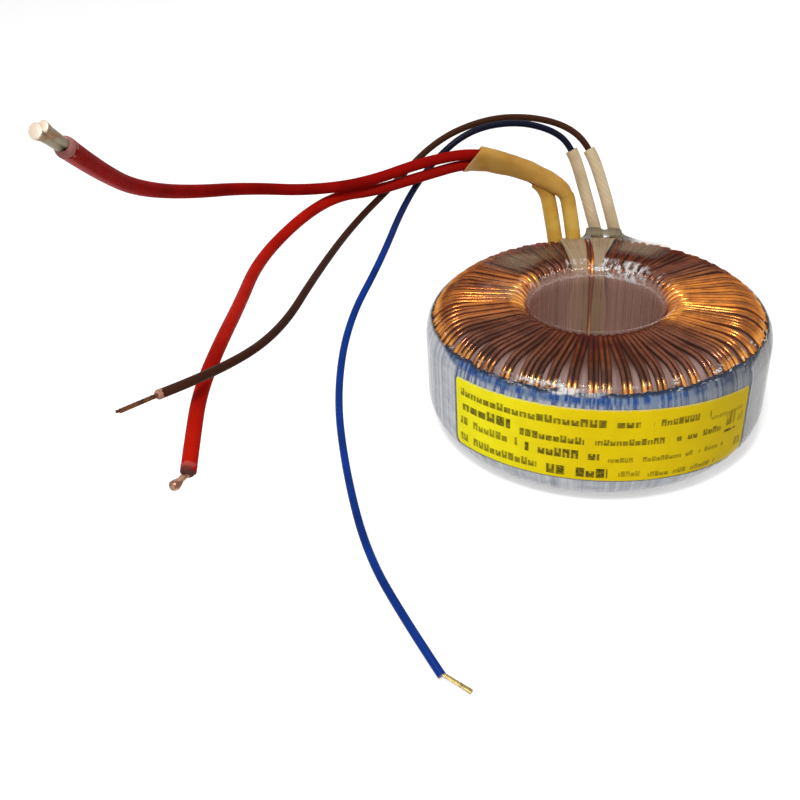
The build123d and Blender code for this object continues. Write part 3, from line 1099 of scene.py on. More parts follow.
class LooseFilm(Finish):
    """Film gathered round the feet of the sleeves, cloudy and olive grey."""

    name = "gathered_film"
    light: Colour = (0.34, 0.285, 0.19, 1)
    dark: Colour = (0.20, 0.16, 0.10, 1)

    def paint(self, graph: Graph) -> Dict[str, Any]:
        """Clouds the film in folds that run up to the sleeves, and thins it out at both ends.

        Args:
            graph: The material's nodes.

        Returns:
            What feeds each input of the Principled node.
        """
        folds = graph.noise(graph.group(ring_place())["Round"], 80.0, 3.0, 0.6)
        patches = graph.group(mottle(), Scale=150.0)
        rise = graph.attribute("rise")
        cloud = patches["Patches"].span(0.0, 1.0, 0.62, 0.88)
        return {
            # painted shade: lighter and darker with the folds
            "Base Color": graph.mix(folds.span(0.38, 0.62), self.light, self.dark),
            "Alpha": cloud * (rise.span(0.02, 0.42) * rise.span(1.0, 0.88)),
            "Roughness": patches["Grain"].span(0.3, 0.7, 0.25, 0.5),
            "Normal": graph.bump(folds, 0.5, 0.0006),
            "Specular IOR Level": 0.1,
        }


@dataclass(frozen=True)
class Dye:
    """The colours of a coloured sleeve or insulation."""

    name: str
    main: Colour
    shade: Colour
    rough: float
    weave: float = 0.0
    translucent: float = 0.0
    shine: float = 0.05
    # far is a second colour past a plane along far_along; highlight_side keeps it to the side that faces that way, a
    # painted highlight
    far: Optional[Colour] = None
    far_along: Tuple[Point, float, float] = ((0, 0, 1), 0.0, 1.0)
    highlight_side: Optional[Point] = None


class Dyed(Finish):
    """Coloured plastic or woven sleeving."""

    def __init__(self, dye: Dye) -> None:
        """Takes its colours and gloss."""
        super().__init__()
        self.dye = dye
        self.name = dye.name

    def paint(self, graph: Graph) -> Dict[str, Any]:
        """Mottles the colour, shifts it to a second colour past a plane, on one side only where a side is given, and
        roughens the surface a little; on several leads that shift is painted light.

        Args:
            graph: The material's nodes.

        Returns:
            What feeds each input of the Principled node.
        """
        dye = self.dye
        patches = graph.group(mottle(), Scale=110.0)
        height = patches["Grain"]
        colour = graph.mix(patches["Patches"], dye.main, dye.shade)
        if dye.far:
            way, low, high = dye.far_along
            share = graph.vector("DOT_PRODUCT", "Value", graph.own(), way).span(low, high)
            # the side facing highlight_side takes the far colour as a painted highlight
            if dye.highlight_side:
                side = graph.vector("DOT_PRODUCT", "Value", graph.own("Normal"), dye.highlight_side)
                share = share * side.span(0.30, 0.90)
            colour = graph.mix(share, colour, dye.far)
        made: Dict[str, Any] = {"Roughness": height.span(0.3, 0.7, dye.rough * 0.8, dye.rough * 1.25)}
        if dye.weave:
            inputs = {"Vector": graph.place((1.0, 0.6, 0.8)), "Scale": 380.0, "Distortion": 2.5}
            threads = graph.get("ShaderNodeTexWave", "Fac", inputs, bands_direction="DIAGONAL")
            colour = graph.mix(threads * (dye.weave * 0.5), colour, dye.shade)
            height = threads * (dye.weave * 3) + height
        made["Base Color"] = colour
        made["Normal"] = graph.bump(height, 0.25 if dye.weave else 0.08, 0.00004)
        made["Specular IOR Level"] = dye.shine
        if dye.translucent:
            made["Subsurface Weight"] = dye.translucent
            made["Subsurface Radius"] = (1.0, 0.6, 0.3)
            made["Subsurface Scale"] = 0.002
        return made


@dataclass(frozen=True)
class Metal:
    """The colours of a bare end."""

    name: str
    main: Colour
    worn: Colour
    cut: Colour
    share: float = 0.5
    rough: float = 0.35


class BareMetal(Finish):
    """Bare wire, tinned or not, worn in patches and bright where it was cut."""

    def __init__(self, metal: Metal) -> None:
        """Takes its colours."""
        super().__init__()
        self.metal = metal
        self.name = metal.name

    def paint(self, graph: Graph) -> Dict[str, Any]:
        """Mixes both colours in patches, and brightens the cut faces.

        Args:
            graph: The material's nodes.

        Returns:
            What feeds each input of the Principled node.
        """
        metal = self.metal
        patches = graph.group(mottle(), Scale=420.0)
        edge = 1.0 - metal.share
        share = patches["Patches"].span(edge - 0.25, edge + 0.25)
        surface = graph.mix(share, metal.main, metal.worn)
        return {
            "Base Color": graph.mix(graph.attribute("cut"), surface, metal.cut),
            "Roughness": patches["Grain"].span(0.3, 0.7, metal.rough * 0.8, metal.rough * 1.3),
            "Normal": graph.bump(patches["Grain"], 0.4, 0.0001),
            "Metallic": 0.85,
        }


class RolledSteel(Finish):
    """The edges of a rolled strip."""

    name = "core_steel"
    dark: Colour = (0.3, 0.3, 0.32, 1)
    light: Colour = (0.5, 0.5, 0.52, 1)
    laps_per_metre: float = 21000.0

    def paint(self, graph: Graph) -> Dict[str, Any]:
        """Rings the ends with fine laps.

        Args:
            graph: The material's nodes.

        Returns:
            What feeds each input of the Principled node.
        """
        laps = graph.math("SINE", graph.group(ring_place())["Radius"] * self.laps_per_metre)
        return {
            "Base Color": graph.mix(laps.span(-1, 1), self.dark, self.light),
            "Roughness": laps.span(-1, 1, 0.3, 0.5),
            "Metallic": 1.0,
        }


# ------------------------------------------------------------------- the endings
def declare(piece: bpy.types.Object, finish: Finish, slot: str, node: str) -> None:
    """Dresses a piece and says what it is.

    Args:
        piece: The object.
        finish: Its finish.
        slot: Its material slot in the library.
        node: The CAD node that it stands for.
    """
    finish.dress(piece)
    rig.ride(piece, BODY)
    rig.slot(piece, slot)
    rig.replaces(piece, node)
    LOG.info("%s built", piece.name)


def complete(
    piece: bpy.types.Object, finish: Finish, slot: str, node: str, degrees: float = 40.0
) -> bpy.types.Object:
    """Applies a mesh piece's modifiers, shades it, dresses it and says what it is.

    Args:
        piece: The object.
        finish: Its finish.
        slot: Its material slot in the library.
        node: The CAD node that it stands for.
        degrees: The sharpest edge that is still smooth.

    Returns:
        The piece.
    """
    apply_modifiers(piece)
    smooth(piece, degrees)
    declare(piece, finish, slot, node)
    return piece


# ------------------------------------------------------------------------ studio
@dataclass
class Studio:
    """Camera, lights, floor and world."""

    eye: Point = (-0.01242, -0.25403, 0.16623)
    forward: Point = (-0.15547, 0.82738, -0.53970)
    roll: float = math.radians(3.95)
    lens: float = 42.75
    floor_size: float = 8.0
    floor_drop: float = 0.0002
    floor_glow: float = 0.42
    world_light: float = 0.55

    def camera(self) -> None:
        """Adds the camera, its roll about its own line of sight."""
        data = bpy.data.cameras.new("camera")
        data.lens = self.lens
        data.sensor_width = 36.0
        data.clip_start = 0.01
        data.clip_end = 50.0
        camera = new_object("camera", data)
        ahead = Vector(self.forward).normalized()
        right = ahead.cross(Vector((0, 0, 1))).normalized()
        up = right.cross(ahead)
        turn = Matrix.Rotation(self.roll, 3, ahead)
        right, up = turn @ right, turn @ up
        place = Matrix((right, up, -ahead)).transposed().to_4x4()
        place.translation = Vector(self.eye)
        camera.matrix_world = place
        bpy.context.scene.camera = camera

    def light(self, name: str, place: Point, aim: Point, size: float, power: float, colour: Point) -> None:
        """Adds one square soft light.

        Args:
            name: The light's name.
            place: Where it stands.
            aim: What it points at.
            size: Its side.
            power: Its power in watts.
            colour: Its colour.
        """
        data = bpy.data.lights.new(name, "AREA")
        data.size = size
        data.energy = power
        data.color = colour
        lamp = new_object(name, data)
        way = Vector(aim) - Vector(place)
        lamp.rotation_euler = way.to_track_quat("-Z", "Y").to_euler()
        lamp.location = place

    def floor(self) -> None:
        """Adds a pale floor that keeps the shadow."""
        deselect_all()
        bpy.ops.mesh.primitive_plane_add(size=self.floor_size, location=(0, 0, -self.floor_drop))
        floor = bpy.context.active_object
        floor.name = "floor"
        settle(floor)
        made = bpy.data.materials.new("floor")
        made.use_nodes = True
        graph = Graph(made.node_tree)
        shader = made.node_tree.nodes["Principled BSDF"]
        shader.inputs["Base Color"].default_value = (0.86, 0.86, 0.86, 1)
        shader.inputs["Roughness"].default_value = 0.9
        shader.inputs["Specular IOR Level"].default_value = 0.1
        shader.inputs["Emission Color"].default_value = (1, 1, 1, 1)
        graph.feed(shader.inputs["Emission Strength"], graph.seen() * self.floor_glow)
        floor.data.materials.append(made)
        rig.stage(floor)

    def world(self) -> None:
        """Lights softly from all round and looks white."""
        world = bpy.data.worlds.new("world")
        world.use_nodes = True
        bpy.context.scene.world = world
        graph = Graph(world.node_tree)
        ground = world.node_tree.nodes["Background"]
        graph.feed(ground.inputs["Strength"], graph.seen().span(0.0, 1.0, self.world_light, 1.0))
        ground.inputs["Color"].default_value = (1, 1, 1, 1)

    def build(self) -> None:
        """Adds everything that isn't the transformer."""
        self.camera()
        self.light("key", (-0.10, -0.42, 0.70), (0, 0, 0.03), 0.13, 3.0, (1.0, 0.97, 0.93))
        self.light("overhead", (0.10, 0.20, 1.00), (0, 0, 0.03), 0.9, 1.0, (0.97, 0.98, 1.0))
        self.floor()
        self.world()
        bpy.context.scene.view_settings.view_transform = "Standard"


# -------------------------------------------------------------------- the leads
@dataclass
class Lead:
    """One flying lead: its insulation, which is a free cord."""

    name: str
    route: List[Point]
    diameter: float
    length: float
    finish: Finish
    slot: str
    stiffness: str = "stiff"
    curve: Optional[bpy.types.Object] = None
    pieces: List[bpy.types.Object] = field(default_factory=list)

    def build(self) -> None:
        """Makes the cord's curve through its route."""
        data = bpy.data.curves.new(self.name + "_cord", "CURVE")
        data.dimensions = "3D"
        spline = data.splines.new("NURBS")
        spline.points.add(len(self.route) - 1)
        for point, place in zip(spline.points, self.route):
            point.co = (*place, 1.0)
        spline.order_u = 3
        spline.use_endpoint_u = True
        data.resolution_u = 14
        data.bevel_depth = self.diameter / 2
        data.bevel_resolution = 6
        data.use_fill_caps = True
        self.curve = new_object(self.name + "_cord", data)
        declare(self.curve, self.finish, self.slot, self.name)

    def carry(self, piece: bpy.types.Object, finish: Finish, slot: str, node: str) -> bpy.types.Object:
        """Completes a piece that sits on the lead."""
        self.pieces.append(complete(piece, finish, slot, node))
        return piece

    def end(self) -> Tuple[Vector, Vector]:
        """The lead's last point and its way there."""
        last = Vector(self.route[-1])
        return last, (last - Vector(self.route[-2])).normalized()

    def line(self) -> List[Vector]:
        """The points that the cord's own smooth line follows.

        Returns:
            Points along the centreline, from the winding outwards.
        """
        plain = self.curve.data.copy()
        plain.bevel_depth = 0.0
        plain.use_fill_caps = False
        holder = new_object("line", plain)
        mesh = bpy.data.meshes.new_from_object(holder)
        points = [vertex.co.copy() for vertex in mesh.vertices]
        bpy.data.objects.remove(holder)
        bpy.data.curves.remove(plain)
        bpy.data.meshes.remove(mesh)
        return points

    def declare(self) -> None:
        """Says what the cord is, once the pieces on it are built."""
        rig.cord(
            self.curve,
            exit=self.route[0],
            length=self.length,
            diameter=self.diameter,
            far_end="bare",
            stiffness=self.stiffness,
            lay="loose",
            with_pieces=self.pieces,
        )


def stretch(points: Sequence[Vector], start: float, end: float, step: float) -> List[Vector]:
    """Evenly spaced points on part of a line.

    Args:
        points: The line.
        start: The length along it at which the stretch starts.
        end: Where it ends.
        step: The longest spacing.

    Returns:
        The points.
    """
    lengths = [0.0]
    for before, after in zip(points, points[1:]):
        lengths.append(lengths[-1] + (after - before).length)
    count = max(2, int(math.ceil((end - start) / step)) + 1)
    wanted = np.linspace(start, min(end, lengths[-1]), count)
    columns = [np.interp(wanted, lengths, [p[i] for p in points]) for i in range(3)]
    return [Vector(place) for place in zip(*columns)]


def stations_on(points: Sequence[Vector], width: float, depth: float, across: Vector) -> List[Station]:
    """Equal sections along points.

    Args:
        points: The centres.
        width: Half the width.
        depth: Half the depth.
        across: The way of the width.

    Returns:
        One station for each point.
    """
    made = []
    for number, centre in enumerate(points):
        ahead = points[min(number + 1, len(points) - 1)]
        behind = points[max(number - 1, 0)]
        made.append(Station(centre, ahead - behind, across, width, depth))
    return made


@dataclass
class Sleeve:
    """An open sleeve over the first stretch of a lead."""

    name: str
    lead: Lead
    end: float
    radius: float
    wall: float
    finish: Finish
    slot: str
    start: float = 0.0
    lumps: float = 0.00012

    def build(self) -> bpy.types.Object:
        """Draws the sleeve along the lead's line.

        Returns:
            The sleeve.
        """
        points = stretch(self.lead.line(), self.start, self.end, 0.0008)
        stations = stations_on(points, self.radius, self.radius, Vector((1, 0, 0)))
        piece = tube_through(self.name + "_sleeve", stations, 28)
        displace(piece, 0.003, self.lumps)
        solidify(piece, self.wall)
        return self.lead.carry(piece, self.finish, self.slot, self.name)


@dataclass
class BindingSleeve:
    """The flattened tan sleeve drawn over both red leads, flared and leaning over at its mouth."""

    name: str
    lead: Lead
    other: Lead
    finish: Finish
    start: float = 0.0152
    end: float = 0.0520
    joined: float = 0.040
    radius: float = 0.00215
    drop: float = 0.0016
    wall: float = 0.0004
    sides: int = 36
    lean: float = 0.75
    ridge: float = 0.0004

    def ring(self, here: Vector, way: Vector, partner: Vector, flare: float, lean: float) -> np.ndarray:
        """One section: a soft outline round two circles, with a crease along its top.

        Args:
            here: The first lead's centre.
            way: The way along it.
            partner: The second circle's centre.
            flare: How much wider than the leads the section is.
            lean: How far its plane leans over.

        Returns:
            The section's points.
        """
        across = way.cross(Vector((0, 0.54, 0.84))).normalized()
        upright = across.cross(way).normalized()
        apart = partner - here
        points = []
        for number in range(self.sides):
            angle = 2 * math.pi * number / self.sides
            out = across * math.cos(angle) + upright * math.sin(angle)
            share = 0.5 + 0.5 * math.tanh(2.2 * apart.dot(out) / max(apart.length, 1e-6))
            crest = math.exp(-(((angle - math.pi / 2) / 0.22) ** 2))
            point = here + apart * share + out * (self.radius + flare + self.ridge * crest)
            height = (point - (here + partner) / 2).dot(upright)
            points.append(point - way * height * lean)
        return np.array(points)

    def build(self) -> bpy.types.Object:
        """Draws the sleeve over both leads' lines.

        Returns:
            The sleeve.
        """
        first = stretch(self.lead.line(), self.start, self.end, 0.0011)
        second = stretch(self.other.line(), 0.010, 0.060, 0.0004)
        rings = []
        for number, here in enumerate(first):
            share = number / (len(first) - 1)
            way = (first[min(number + 1, len(first) - 1)] - first[max(number - 1, 0)]).normalized()
            beside = min(second, key=lambda place: abs((place - here).dot(way)))
            upright = way.cross(Vector((0, 0.54, 0.84))).cross(way).normalized()
            hold = (self.start + share * (self.end - self.start) - 0.024) / (self.joined - 0.024)
            hold = min(max(hold, 0.0), 1.0) ** 2 * (3 - 2 * min(max(hold, 0.0), 1.0))
            partner = (here - upright * self.drop * min(1.0, share * 6)).lerp(beside, hold)
            mouth = max(0.0, (share - 0.8) / 0.2)
            rings.append(self.ring(here, way, partner, 0.00025 * mouth, self.lean * mouth))
        piece = tube_of_rings(self.name + "_tube", np.array(rings))
        displace(piece, 0.0045, 0.0006)
        solidify(piece, self.wall)
        return self.lead.carry(piece, self.finish, "tan_sleeving", self.name)


@dataclass
class Cuff:
    """The worn end of a lead's insulation, shrunk on to its wire."""

    name: str
    lead: Lead
    tip: Point
    sizes: Sequence[Tuple[float, float]]
    finish: Finish
    slot: str
    lumps: float = 0.0003

    def build(self) -> bpy.types.Object:
        """Draws the cuff from the insulation towards the tip.

        Returns:
            The cuff.
        """
        end, way = self.lead.end()
        reach = (Vector(self.tip) - end).normalized()
        stations = []
        for past, radius in self.sizes:
            along = way if past <= 0 else reach
            stations.append(Station(end + along * past, (way + along) / 2, Vector((1, 0, 0)), radius, radius))
        piece = tube_through(self.name, stations, 22)
        rounding = piece.modifiers.new("round", "SUBSURF")
        rounding.levels = rounding.render_levels = 1
        displace(piece, 0.0012, self.lumps)
        solidify(piece, 0.00025)
        return self.lead.carry(piece, self.finish, self.slot, self.lead.name)


@dataclass
class WirePairTip:
    """The two winding wires that stand out of a red lead."""

    name: str
    lead: Lead
    tip: Point
    across: Point
    finish: Finish
    profile: Sequence[Tuple[float, float, float]]
    cut: float = 1.0
    uneven: float = 0.0
    tall: float = 1.0
    sides: int = 16

    def build(self) -> bpy.types.Object:
        """Draws both wires through their profile, as shares of the reach, radii and half gaps.

        Returns:
            The tip.
        """
        end, way = self.lead.end()
        reach = Vector(self.tip) - end
        across = Vector(self.across).normalized()
        made = []
        for side in (-1, 1):
            stations = []
            for share, radius, gap in self.profile:
                along = reach if share > 0 else way * reach.length
                place = end + along * share + across * side * gap
                past = max(share, 0.0)
                wide = radius * (1 + side * self.uneven * past)
                stations.append(Station(place, along, across, wide, wide * (1 + (self.tall - 1) * past**2)))
            wire = tube_through(self.name, stations, self.sides, close=True)
            shares = np.zeros(len(wire.data.vertices))
            shares[-self.sides:] = self.cut
            mark(wire.data, "cut", shares)
            made.append(wire)
        piece = join(made, self.name + "_wires")
        bevel = piece.modifiers.new("bevel", "BEVEL")
        bevel.width = 0.00022
        bevel.segments = 3
        bevel.limit_method = "ANGLE"
        displace(piece, 0.0009, 0.00022)
        return self.lead.carry(piece, self.finish, "tinned_copper", self.name)


@dataclass
class StrandTip:
    """The twisted strands that stand out of a mains lead."""

    name: str
    lead: Lead
    tip: Point
    finish: Finish
    twist: Turn
    radius: float = 0.00052
    strands: int = 9
    strand: float = 0.00017
    turns: float = 1.4
    fray: float = 0.0002
    steps: int = 12

    def build(self) -> bpy.types.Object:
        """Twists the strands about the line to the tip.

        Returns:
            The tip.
        """
        end, way = self.lead.end()
        reach = Vector(self.tip) - end
        side = reach.cross(Vector((0, 0, 1))).normalized()
        lift = side.cross(reach).normalized()
        rng = random.Random(len(self.name))
        made = []
        for number in range(self.strands):
            core = number >= self.strands - 2
            radius = 0.0 if core else self.radius - self.strand
            start = 2 * math.pi * number / (self.strands - 2)
            stop = 1.0 - rng.random() * 0.1
            points = []
            for step in range(self.steps + 1):
                share = step / self.steps * stop
                angle = start + self.twist.value * 2 * math.pi * self.turns * share
                spread = radius + self.fray * share**3 * rng.random()
                middle = end - way * 0.001 * (1 - share) + reach * share
                points.append(middle + (side * math.cos(angle) + lift * math.sin(angle)) * spread)
            stations = stations_on(points, self.strand, self.strand, side)
            made.append(tube_through(self.name, stations, 6, close=True))
        piece = join(made, self.name + "_strands")
        return self.lead.carry(piece, self.finish, "copper_strands", self.name)


# --------------------------------------------------------------------- the body
@dataclass
class SecondaryWinding:
    """Turns of two round wires side by side, wound right round the core."""

    pairs: int = 62
    wire: float = 0.0014
    drift: Sequence[float] = (0.0, 0.9, -0.5, 0.3, -0.9, 0.6, 1.1, -0.3, -1.0, 0.2, 0.7, -0.7)
    sides: int = 10
    spacing: float = 0.00143
    parallel_from: float = 0.028
    bore_room: float = 0.0009
    outer_corner: float = 0.00965
    steps: int = 8

    def turn(self, layer: int) -> bpy.types.Object:
        """Draws one wire of one turn in the XZ plane.

        Args:
            layer: 0 for the wire nearest the axis, 1 for the one behind it.

        Returns:
            The open turn, from the middle of the bore round to it again.
        """
        low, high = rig.box("secondary_winding")
        bore = frame["record"]["mounts"][0]["dims"]["r_mm"] * MM + self.bore_room + self.wire / 2
        inner = bore + layer * 0.0010
        outer = high[0] - self.wire / 2
        top = high[2] - self.wire / 2 - layer * 0.0002
        base = low[2] + self.wire / 2 + layer * 0.0002
        middle = (top + base) / 2
        bend = 0.0044 - layer * 0.0008
        run = (outer - self.outer_corner - inner - bend) / self.steps
        piece = circle("turn", self.wire / 2, self.sides, (inner, 0, middle))
        with edit_mode(piece):
            bpy.ops.mesh.select_all(action="SELECT")
            extrude(0, top - bend - middle)
            self._corner((inner + bend, 0, top - bend))
            extrude(run, 0, self.steps)
            self._corner((outer - self.outer_corner, 0, top - self.outer_corner))
            extrude(0, base - top + 2 * self.outer_corner)
            self._corner((outer - self.outer_corner, 0, base + self.outer_corner))
            extrude(-run, 0, self.steps)
            self._corner((inner + bend, 0, base + bend))
            extrude(0, middle - base - bend)
        return piece

    @staticmethod
    def _corner(centre: Point) -> None:
        """Spins the selected ring a quarter turn."""
        bpy.ops.mesh.spin(steps=6, dupli=False, angle=-math.radians(90), center=centre, axis=(0, 1, 0))

    def wind(self, piece: bpy.types.Object, pair: int, side: int, shade: float) -> None:
        """Leads one turn round the ring, from its own place in the bore to the next.

        Args:
            piece: A copy of the turn.
            pair: The number of the pair.
            side: -1 or 1, the wire's side of its pair.
            shade: The strand's own shade, from 0 to 1.
        """
        mesh = piece.data
        places = np.empty(len(mesh.vertices) * 3)
        mesh.vertices.foreach_get("co", places)
        rings = places.reshape(-1, self.sides, 3)
        centres = rings.mean(axis=1)
        pitch = 2 * math.pi / self.pairs
        rng = random.Random(pair)
        drift = math.radians(self.drift[pair % len(self.drift)] + rng.uniform(-0.5, 0.5))
        in_front = max(0.0, -math.sin(pitch * pair + math.radians(drift)))
        spacing = self.spacing * rng.uniform(1.0, 1.75 - 0.65 * in_front)
        bore = centres[0, 0]
        radius = centres[:, 0]
        rim = radius.max()
        ease = np.clip((radius - bore) / (self.parallel_from - bore), 0, 1)
        ease = ease * ease * (3 - 2 * ease)
        beside = side * (bore * pitch / 4 * (1 - ease) + spacing / 2 * ease)
        reach = np.clip((radius - bore) / (rim - bore), 0, 1)
        past = np.arange(len(radius)) > len(radius) / 2
        angle = beside / radius + drift * reach + np.where(past, pitch * (1 - reach), 0.0)
        angle += pitch * pair
        cosines, sines = np.cos(angle)[:, None], np.sin(angle)[:, None]
        x, y, z = np.moveaxis(rings, -1, 0)
        turned = np.stack([x * cosines - y * sines, x * sines + y * cosines, z], axis=-1)
        mesh.vertices.foreach_set("co", turned.ravel())
        mark(mesh, "strand", np.full(len(mesh.vertices), shade))
        mesh.update()

    def build(self, finish: Finish) -> bpy.types.Object:
        """Winds all the turns and joins them.

        Args:
            finish: The wire's finish.

        Returns:
            The winding.
        """
        rng = random.Random(7)
        masters = [self.turn(0), self.turn(1)]
        copies = []
        for pair in range(self.pairs):
            for number, side in enumerate((-1, 1)):
                copy = masters[number].copy()
                copy.data = masters[number].data.copy()
                bpy.context.scene.collection.objects.link(copy)
                self.wind(copy, pair, side, rng.random())
                copies.append(copy)
        for master in masters:
            bpy.data.objects.remove(master)
        piece = join(copies, "secondary_turns")
        face_outwards(piece)
        return complete(piece, finish, "enamelled_copper", "secondary_winding", 60)


@dataclass
class TapeBand:
    """Blue tape round the winding, its upper edge gathered over the rim."""

    steps: int = 540
    rows: int = 22
    corner: float = 0.01055
    low: float = 0.0048
    high: float = 0.0352
    ragged: float = 0.0005
    pleat: float = 0.00016
    waves: Sequence[int] = (31, 47, 73, 101, 137, 163)

    def build(self, finish: Finish) -> bpy.types.Object:
        """Spins the band's line round the axis and gathers it.

        Args:
            finish: The tape's finish.

        Returns:
            The band.
        """
        box_low, box_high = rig.box("blue_tape")
        outer = box_high[0]
        piece = circle("tape_band", outer, self.steps)
        with edit_mode(piece):
            bpy.ops.mesh.select_all(action="SELECT")
            extrude(0, 0.001, self.rows)
        rng = np.random.default_rng(5)
        around = np.arange(self.steps) * 2 * math.pi / self.steps
        waves = sum(np.sin(around * count + rng.random() * 7) / (1 + count / 90) for count in self.waves)
        tears = np.tile(rng.normal(size=self.steps), 3)
        torn = np.convolve(tears, np.ones(4) / 4, "same")[self.steps:-self.steps]
        share = (np.arange(self.rows + 1) / self.rows)[:, None]
        top = self.high + self.ragged * (0.5 * torn + 0.25 * waves)[None, :]
        top = top - 0.0012 * np.clip((np.abs(np.cos(around)) - 0.75) * 4, 0, 1)[None, :]
        height = self.low + share * (top - self.low)
        edge = 0.0043 - self.corner
        over = np.maximum(height - box_high[2] - edge, box_low[2] - edge - height)
        over = np.clip(over, 0, self.corner * 0.98)
        inward = self.corner - np.sqrt(self.corner**2 - over**2)
        pleats = (0.5 + 0.5 * np.clip(waves, -2, 2)[None, :] / 2) * np.clip(share * 3 - 1.6, 0, 1)
        radius = outer - inward - self.pleat * pleats
        places = np.stack([radius * np.cos(around), radius * np.sin(around), height], axis=-1)
        piece.data.vertices.foreach_set("co", places.ravel())
        mark(piece.data, "rise", np.repeat(share.ravel(), self.steps))
        piece.data.update()
        face_outwards(piece)
        solidify(piece, 0.0001)
        return complete(piece, finish, "blue_tape", "blue_tape", 60)


@dataclass
class LabelSheet:
    """The printed label, laid round the wall and over its corners."""

    columns: int = 150
    rows: int = 18
    radius: float = 0.04968
    corner: float = 0.01055
    rounding: float = 0.0012
    base: float = 0.0003
    top: float = 0.0397

    def place(self, across: float, up: float) -> Vector:
        """One point of the label.

        Args:
            across: From -0.5 at its left end to 0.5 at its right.
            up: From -0.5 at its lower edge to 0.5 at its upper.

        Returns:
            The point.
        """
        across, up = across + 0.5, up + 0.5
        angle = LABEL.left + across * (LABEL.right - LABEL.left)
        end = min(across, 1 - across) * (LABEL.right - LABEL.left) * self.radius
        short = max(self.rounding - end, 0.0)
        inset = self.rounding - math.sqrt(self.rounding**2 - short**2)
        height = LABEL.low + inset + up * (LABEL.high - LABEL.low - 2 * inset) - LABEL.droop(angle)
        over = max(height - self.top + self.corner, self.base + self.corner - height, 0.0)
        radius = self.radius - self.corner + math.sqrt(self.corner**2 - over**2)
        return Vector((radius * math.sin(angle), -radius * math.cos(angle), height))

    def build(self, finish: Finish) -> bpy.types.Object:
        """Bends a flat grid round the wall.

        Args:
            finish: The label's finish.

        Returns:
            The label.
        """
        piece = sheet("label_sheet", self.columns, self.rows, self.place)
        solidify(piece, 0.0001)
        return complete(piece, finish, "yellow_label", "label")


@dataclass
class LeadTape:
    """A strip of tape from the feet of two sleeves over the top and down the bore."""

    node: str
    path: Sequence[Tuple[float, float, float, float]]
    rows: int = 60
    columns: int = 10

    def place(self, x: float, y: float) -> Vector:
        """One point of the strip, read off its path of radius, height, angle and half width.

        Args:
            x: From 0.5 to -0.5 across the strip.
            y: From 0.5 at the sleeves to -0.5 down the bore.

        Returns:
            The point.
        """
        along, across = 0.5 - y, -2 * x
        marks = np.linspace(0, 1, len(self.path))
        radius, height, angle, half = (float(np.interp(along, marks, column)) for column in zip(*self.path))
        turn = math.radians(angle) - across * half / radius
        return Vector((radius * math.sin(turn), -radius * math.cos(turn), height)) * MM

    def build(self, finish: Finish) -> bpy.types.Object:
        """Bends a flat grid along the path.

        Args:
            finish: The tape's finish.

        Returns:
            The strip.
        """
        piece = sheet(self.node + "_strip", self.columns, self.rows, self.place)
        solidify(piece, 0.00008)
        return complete(piece, finish, "white_tape", self.node)


@dataclass
class FilmCollar:
    """Loose film, drawn up between and round the feet of the two white sleeves."""

    low: Tuple[float, float, float, float] = (6.6, 45.0, 10.6, 4.2)
    high: Tuple[float, float, float, float] = (3.5, 46.3, 5.85, 2.85)
    rise: float = 3.2
    rings: int = 14
    sides: int = 56

    @staticmethod
    def surface(radius: float) -> float:
        """The film's height in millimetres over a radius near the rim."""
        return 29.2 + math.sqrt(max(10.85**2 - max(min(radius, 49.0) - 39.15, 0.0) ** 2, 0.0))

    def build(self, finish: Finish) -> bpy.types.Object:
        """Draws rings from the film up to the sleeves.

        Args:
            finish: The film's finish.

        Returns:
            The collar.
        """
        rings = []
        for step in range(self.rings + 1):
            share = step / self.rings
            draw = 1 - (1 - share) ** 2.4
            x, y, wide, deep = (a + (b - a) * draw for a, b in zip(self.low, self.high))
            ring = []
            for number in range(self.sides):
                angle = 2 * math.pi * number / self.sides
                flat = (wide - deep) * max(-1.0, min(1.0, 1.6 * math.cos(angle)))
                across, back = x + flat + deep * math.cos(angle), y + deep * math.sin(angle)
                fold = 0.18 * math.sin(9 * angle) * (1 - share) * share * 2
                lift = self.rise * share**1.6 * (1 - 0.26 * math.exp(-((across - x) ** 2) / 1.6))
                height = self.surface(math.hypot(across, back)) + 0.04 + lift + fold
                ring.append((across * MM, back * MM, height * MM))
            rings.append(ring)
        piece = tube_of_rings("gathered_film", np.array(rings))
        mark(piece.data, "rise", np.repeat(np.linspace(0, 1, self.rings + 1), self.sides))
        solidify(piece, 0.00008)
        return complete(piece, finish, "white_tape", "primary_lead_tape")


# ------------------------------------------------------------------- the routes
RED_1_ROUTE: List[Point] = [
    (-0.0060, 0.0410, 0.0365), (-0.0075, 0.0443, 0.0455), (-0.0095, 0.0475, 0.0545),
    (-0.0220, 0.0464, 0.0617), (-0.0370, 0.0421, 0.0682), (-0.0530, 0.0325, 0.0685),
    (-0.0700, 0.0200, 0.0660), (-0.0850, 0.0085, 0.0680), (-0.0960, -0.0140, 0.0772),
    (-0.1000, -0.0460, 0.0880), (-0.0970, -0.0785, 0.1010), (-0.0898, -0.1065, 0.1148),
    (-0.0820, -0.1290, 0.1260),
]
RED_2_ROUTE: List[Point] = [
    (-0.0120, 0.0405, 0.0370), (-0.0137, 0.0440, 0.0460), (-0.0162, 0.0489, 0.0553),
    (-0.0285, 0.0468, 0.0610), (-0.0400, 0.0413, 0.0650), (-0.0545, 0.0310, 0.0640),
    (-0.0680, 0.0225, 0.0625), (-0.0785, 0.0160, 0.0635), (-0.0870, 0.0030, 0.0615),
    (-0.0930, -0.0220, 0.0593), (-0.0900, -0.0500, 0.0600), (-0.0872, -0.0735, 0.0623),
    (-0.0865, -0.0910, 0.0603), (-0.0840, -0.1045, 0.0575), (-0.0830, -0.1115, 0.0545),
]
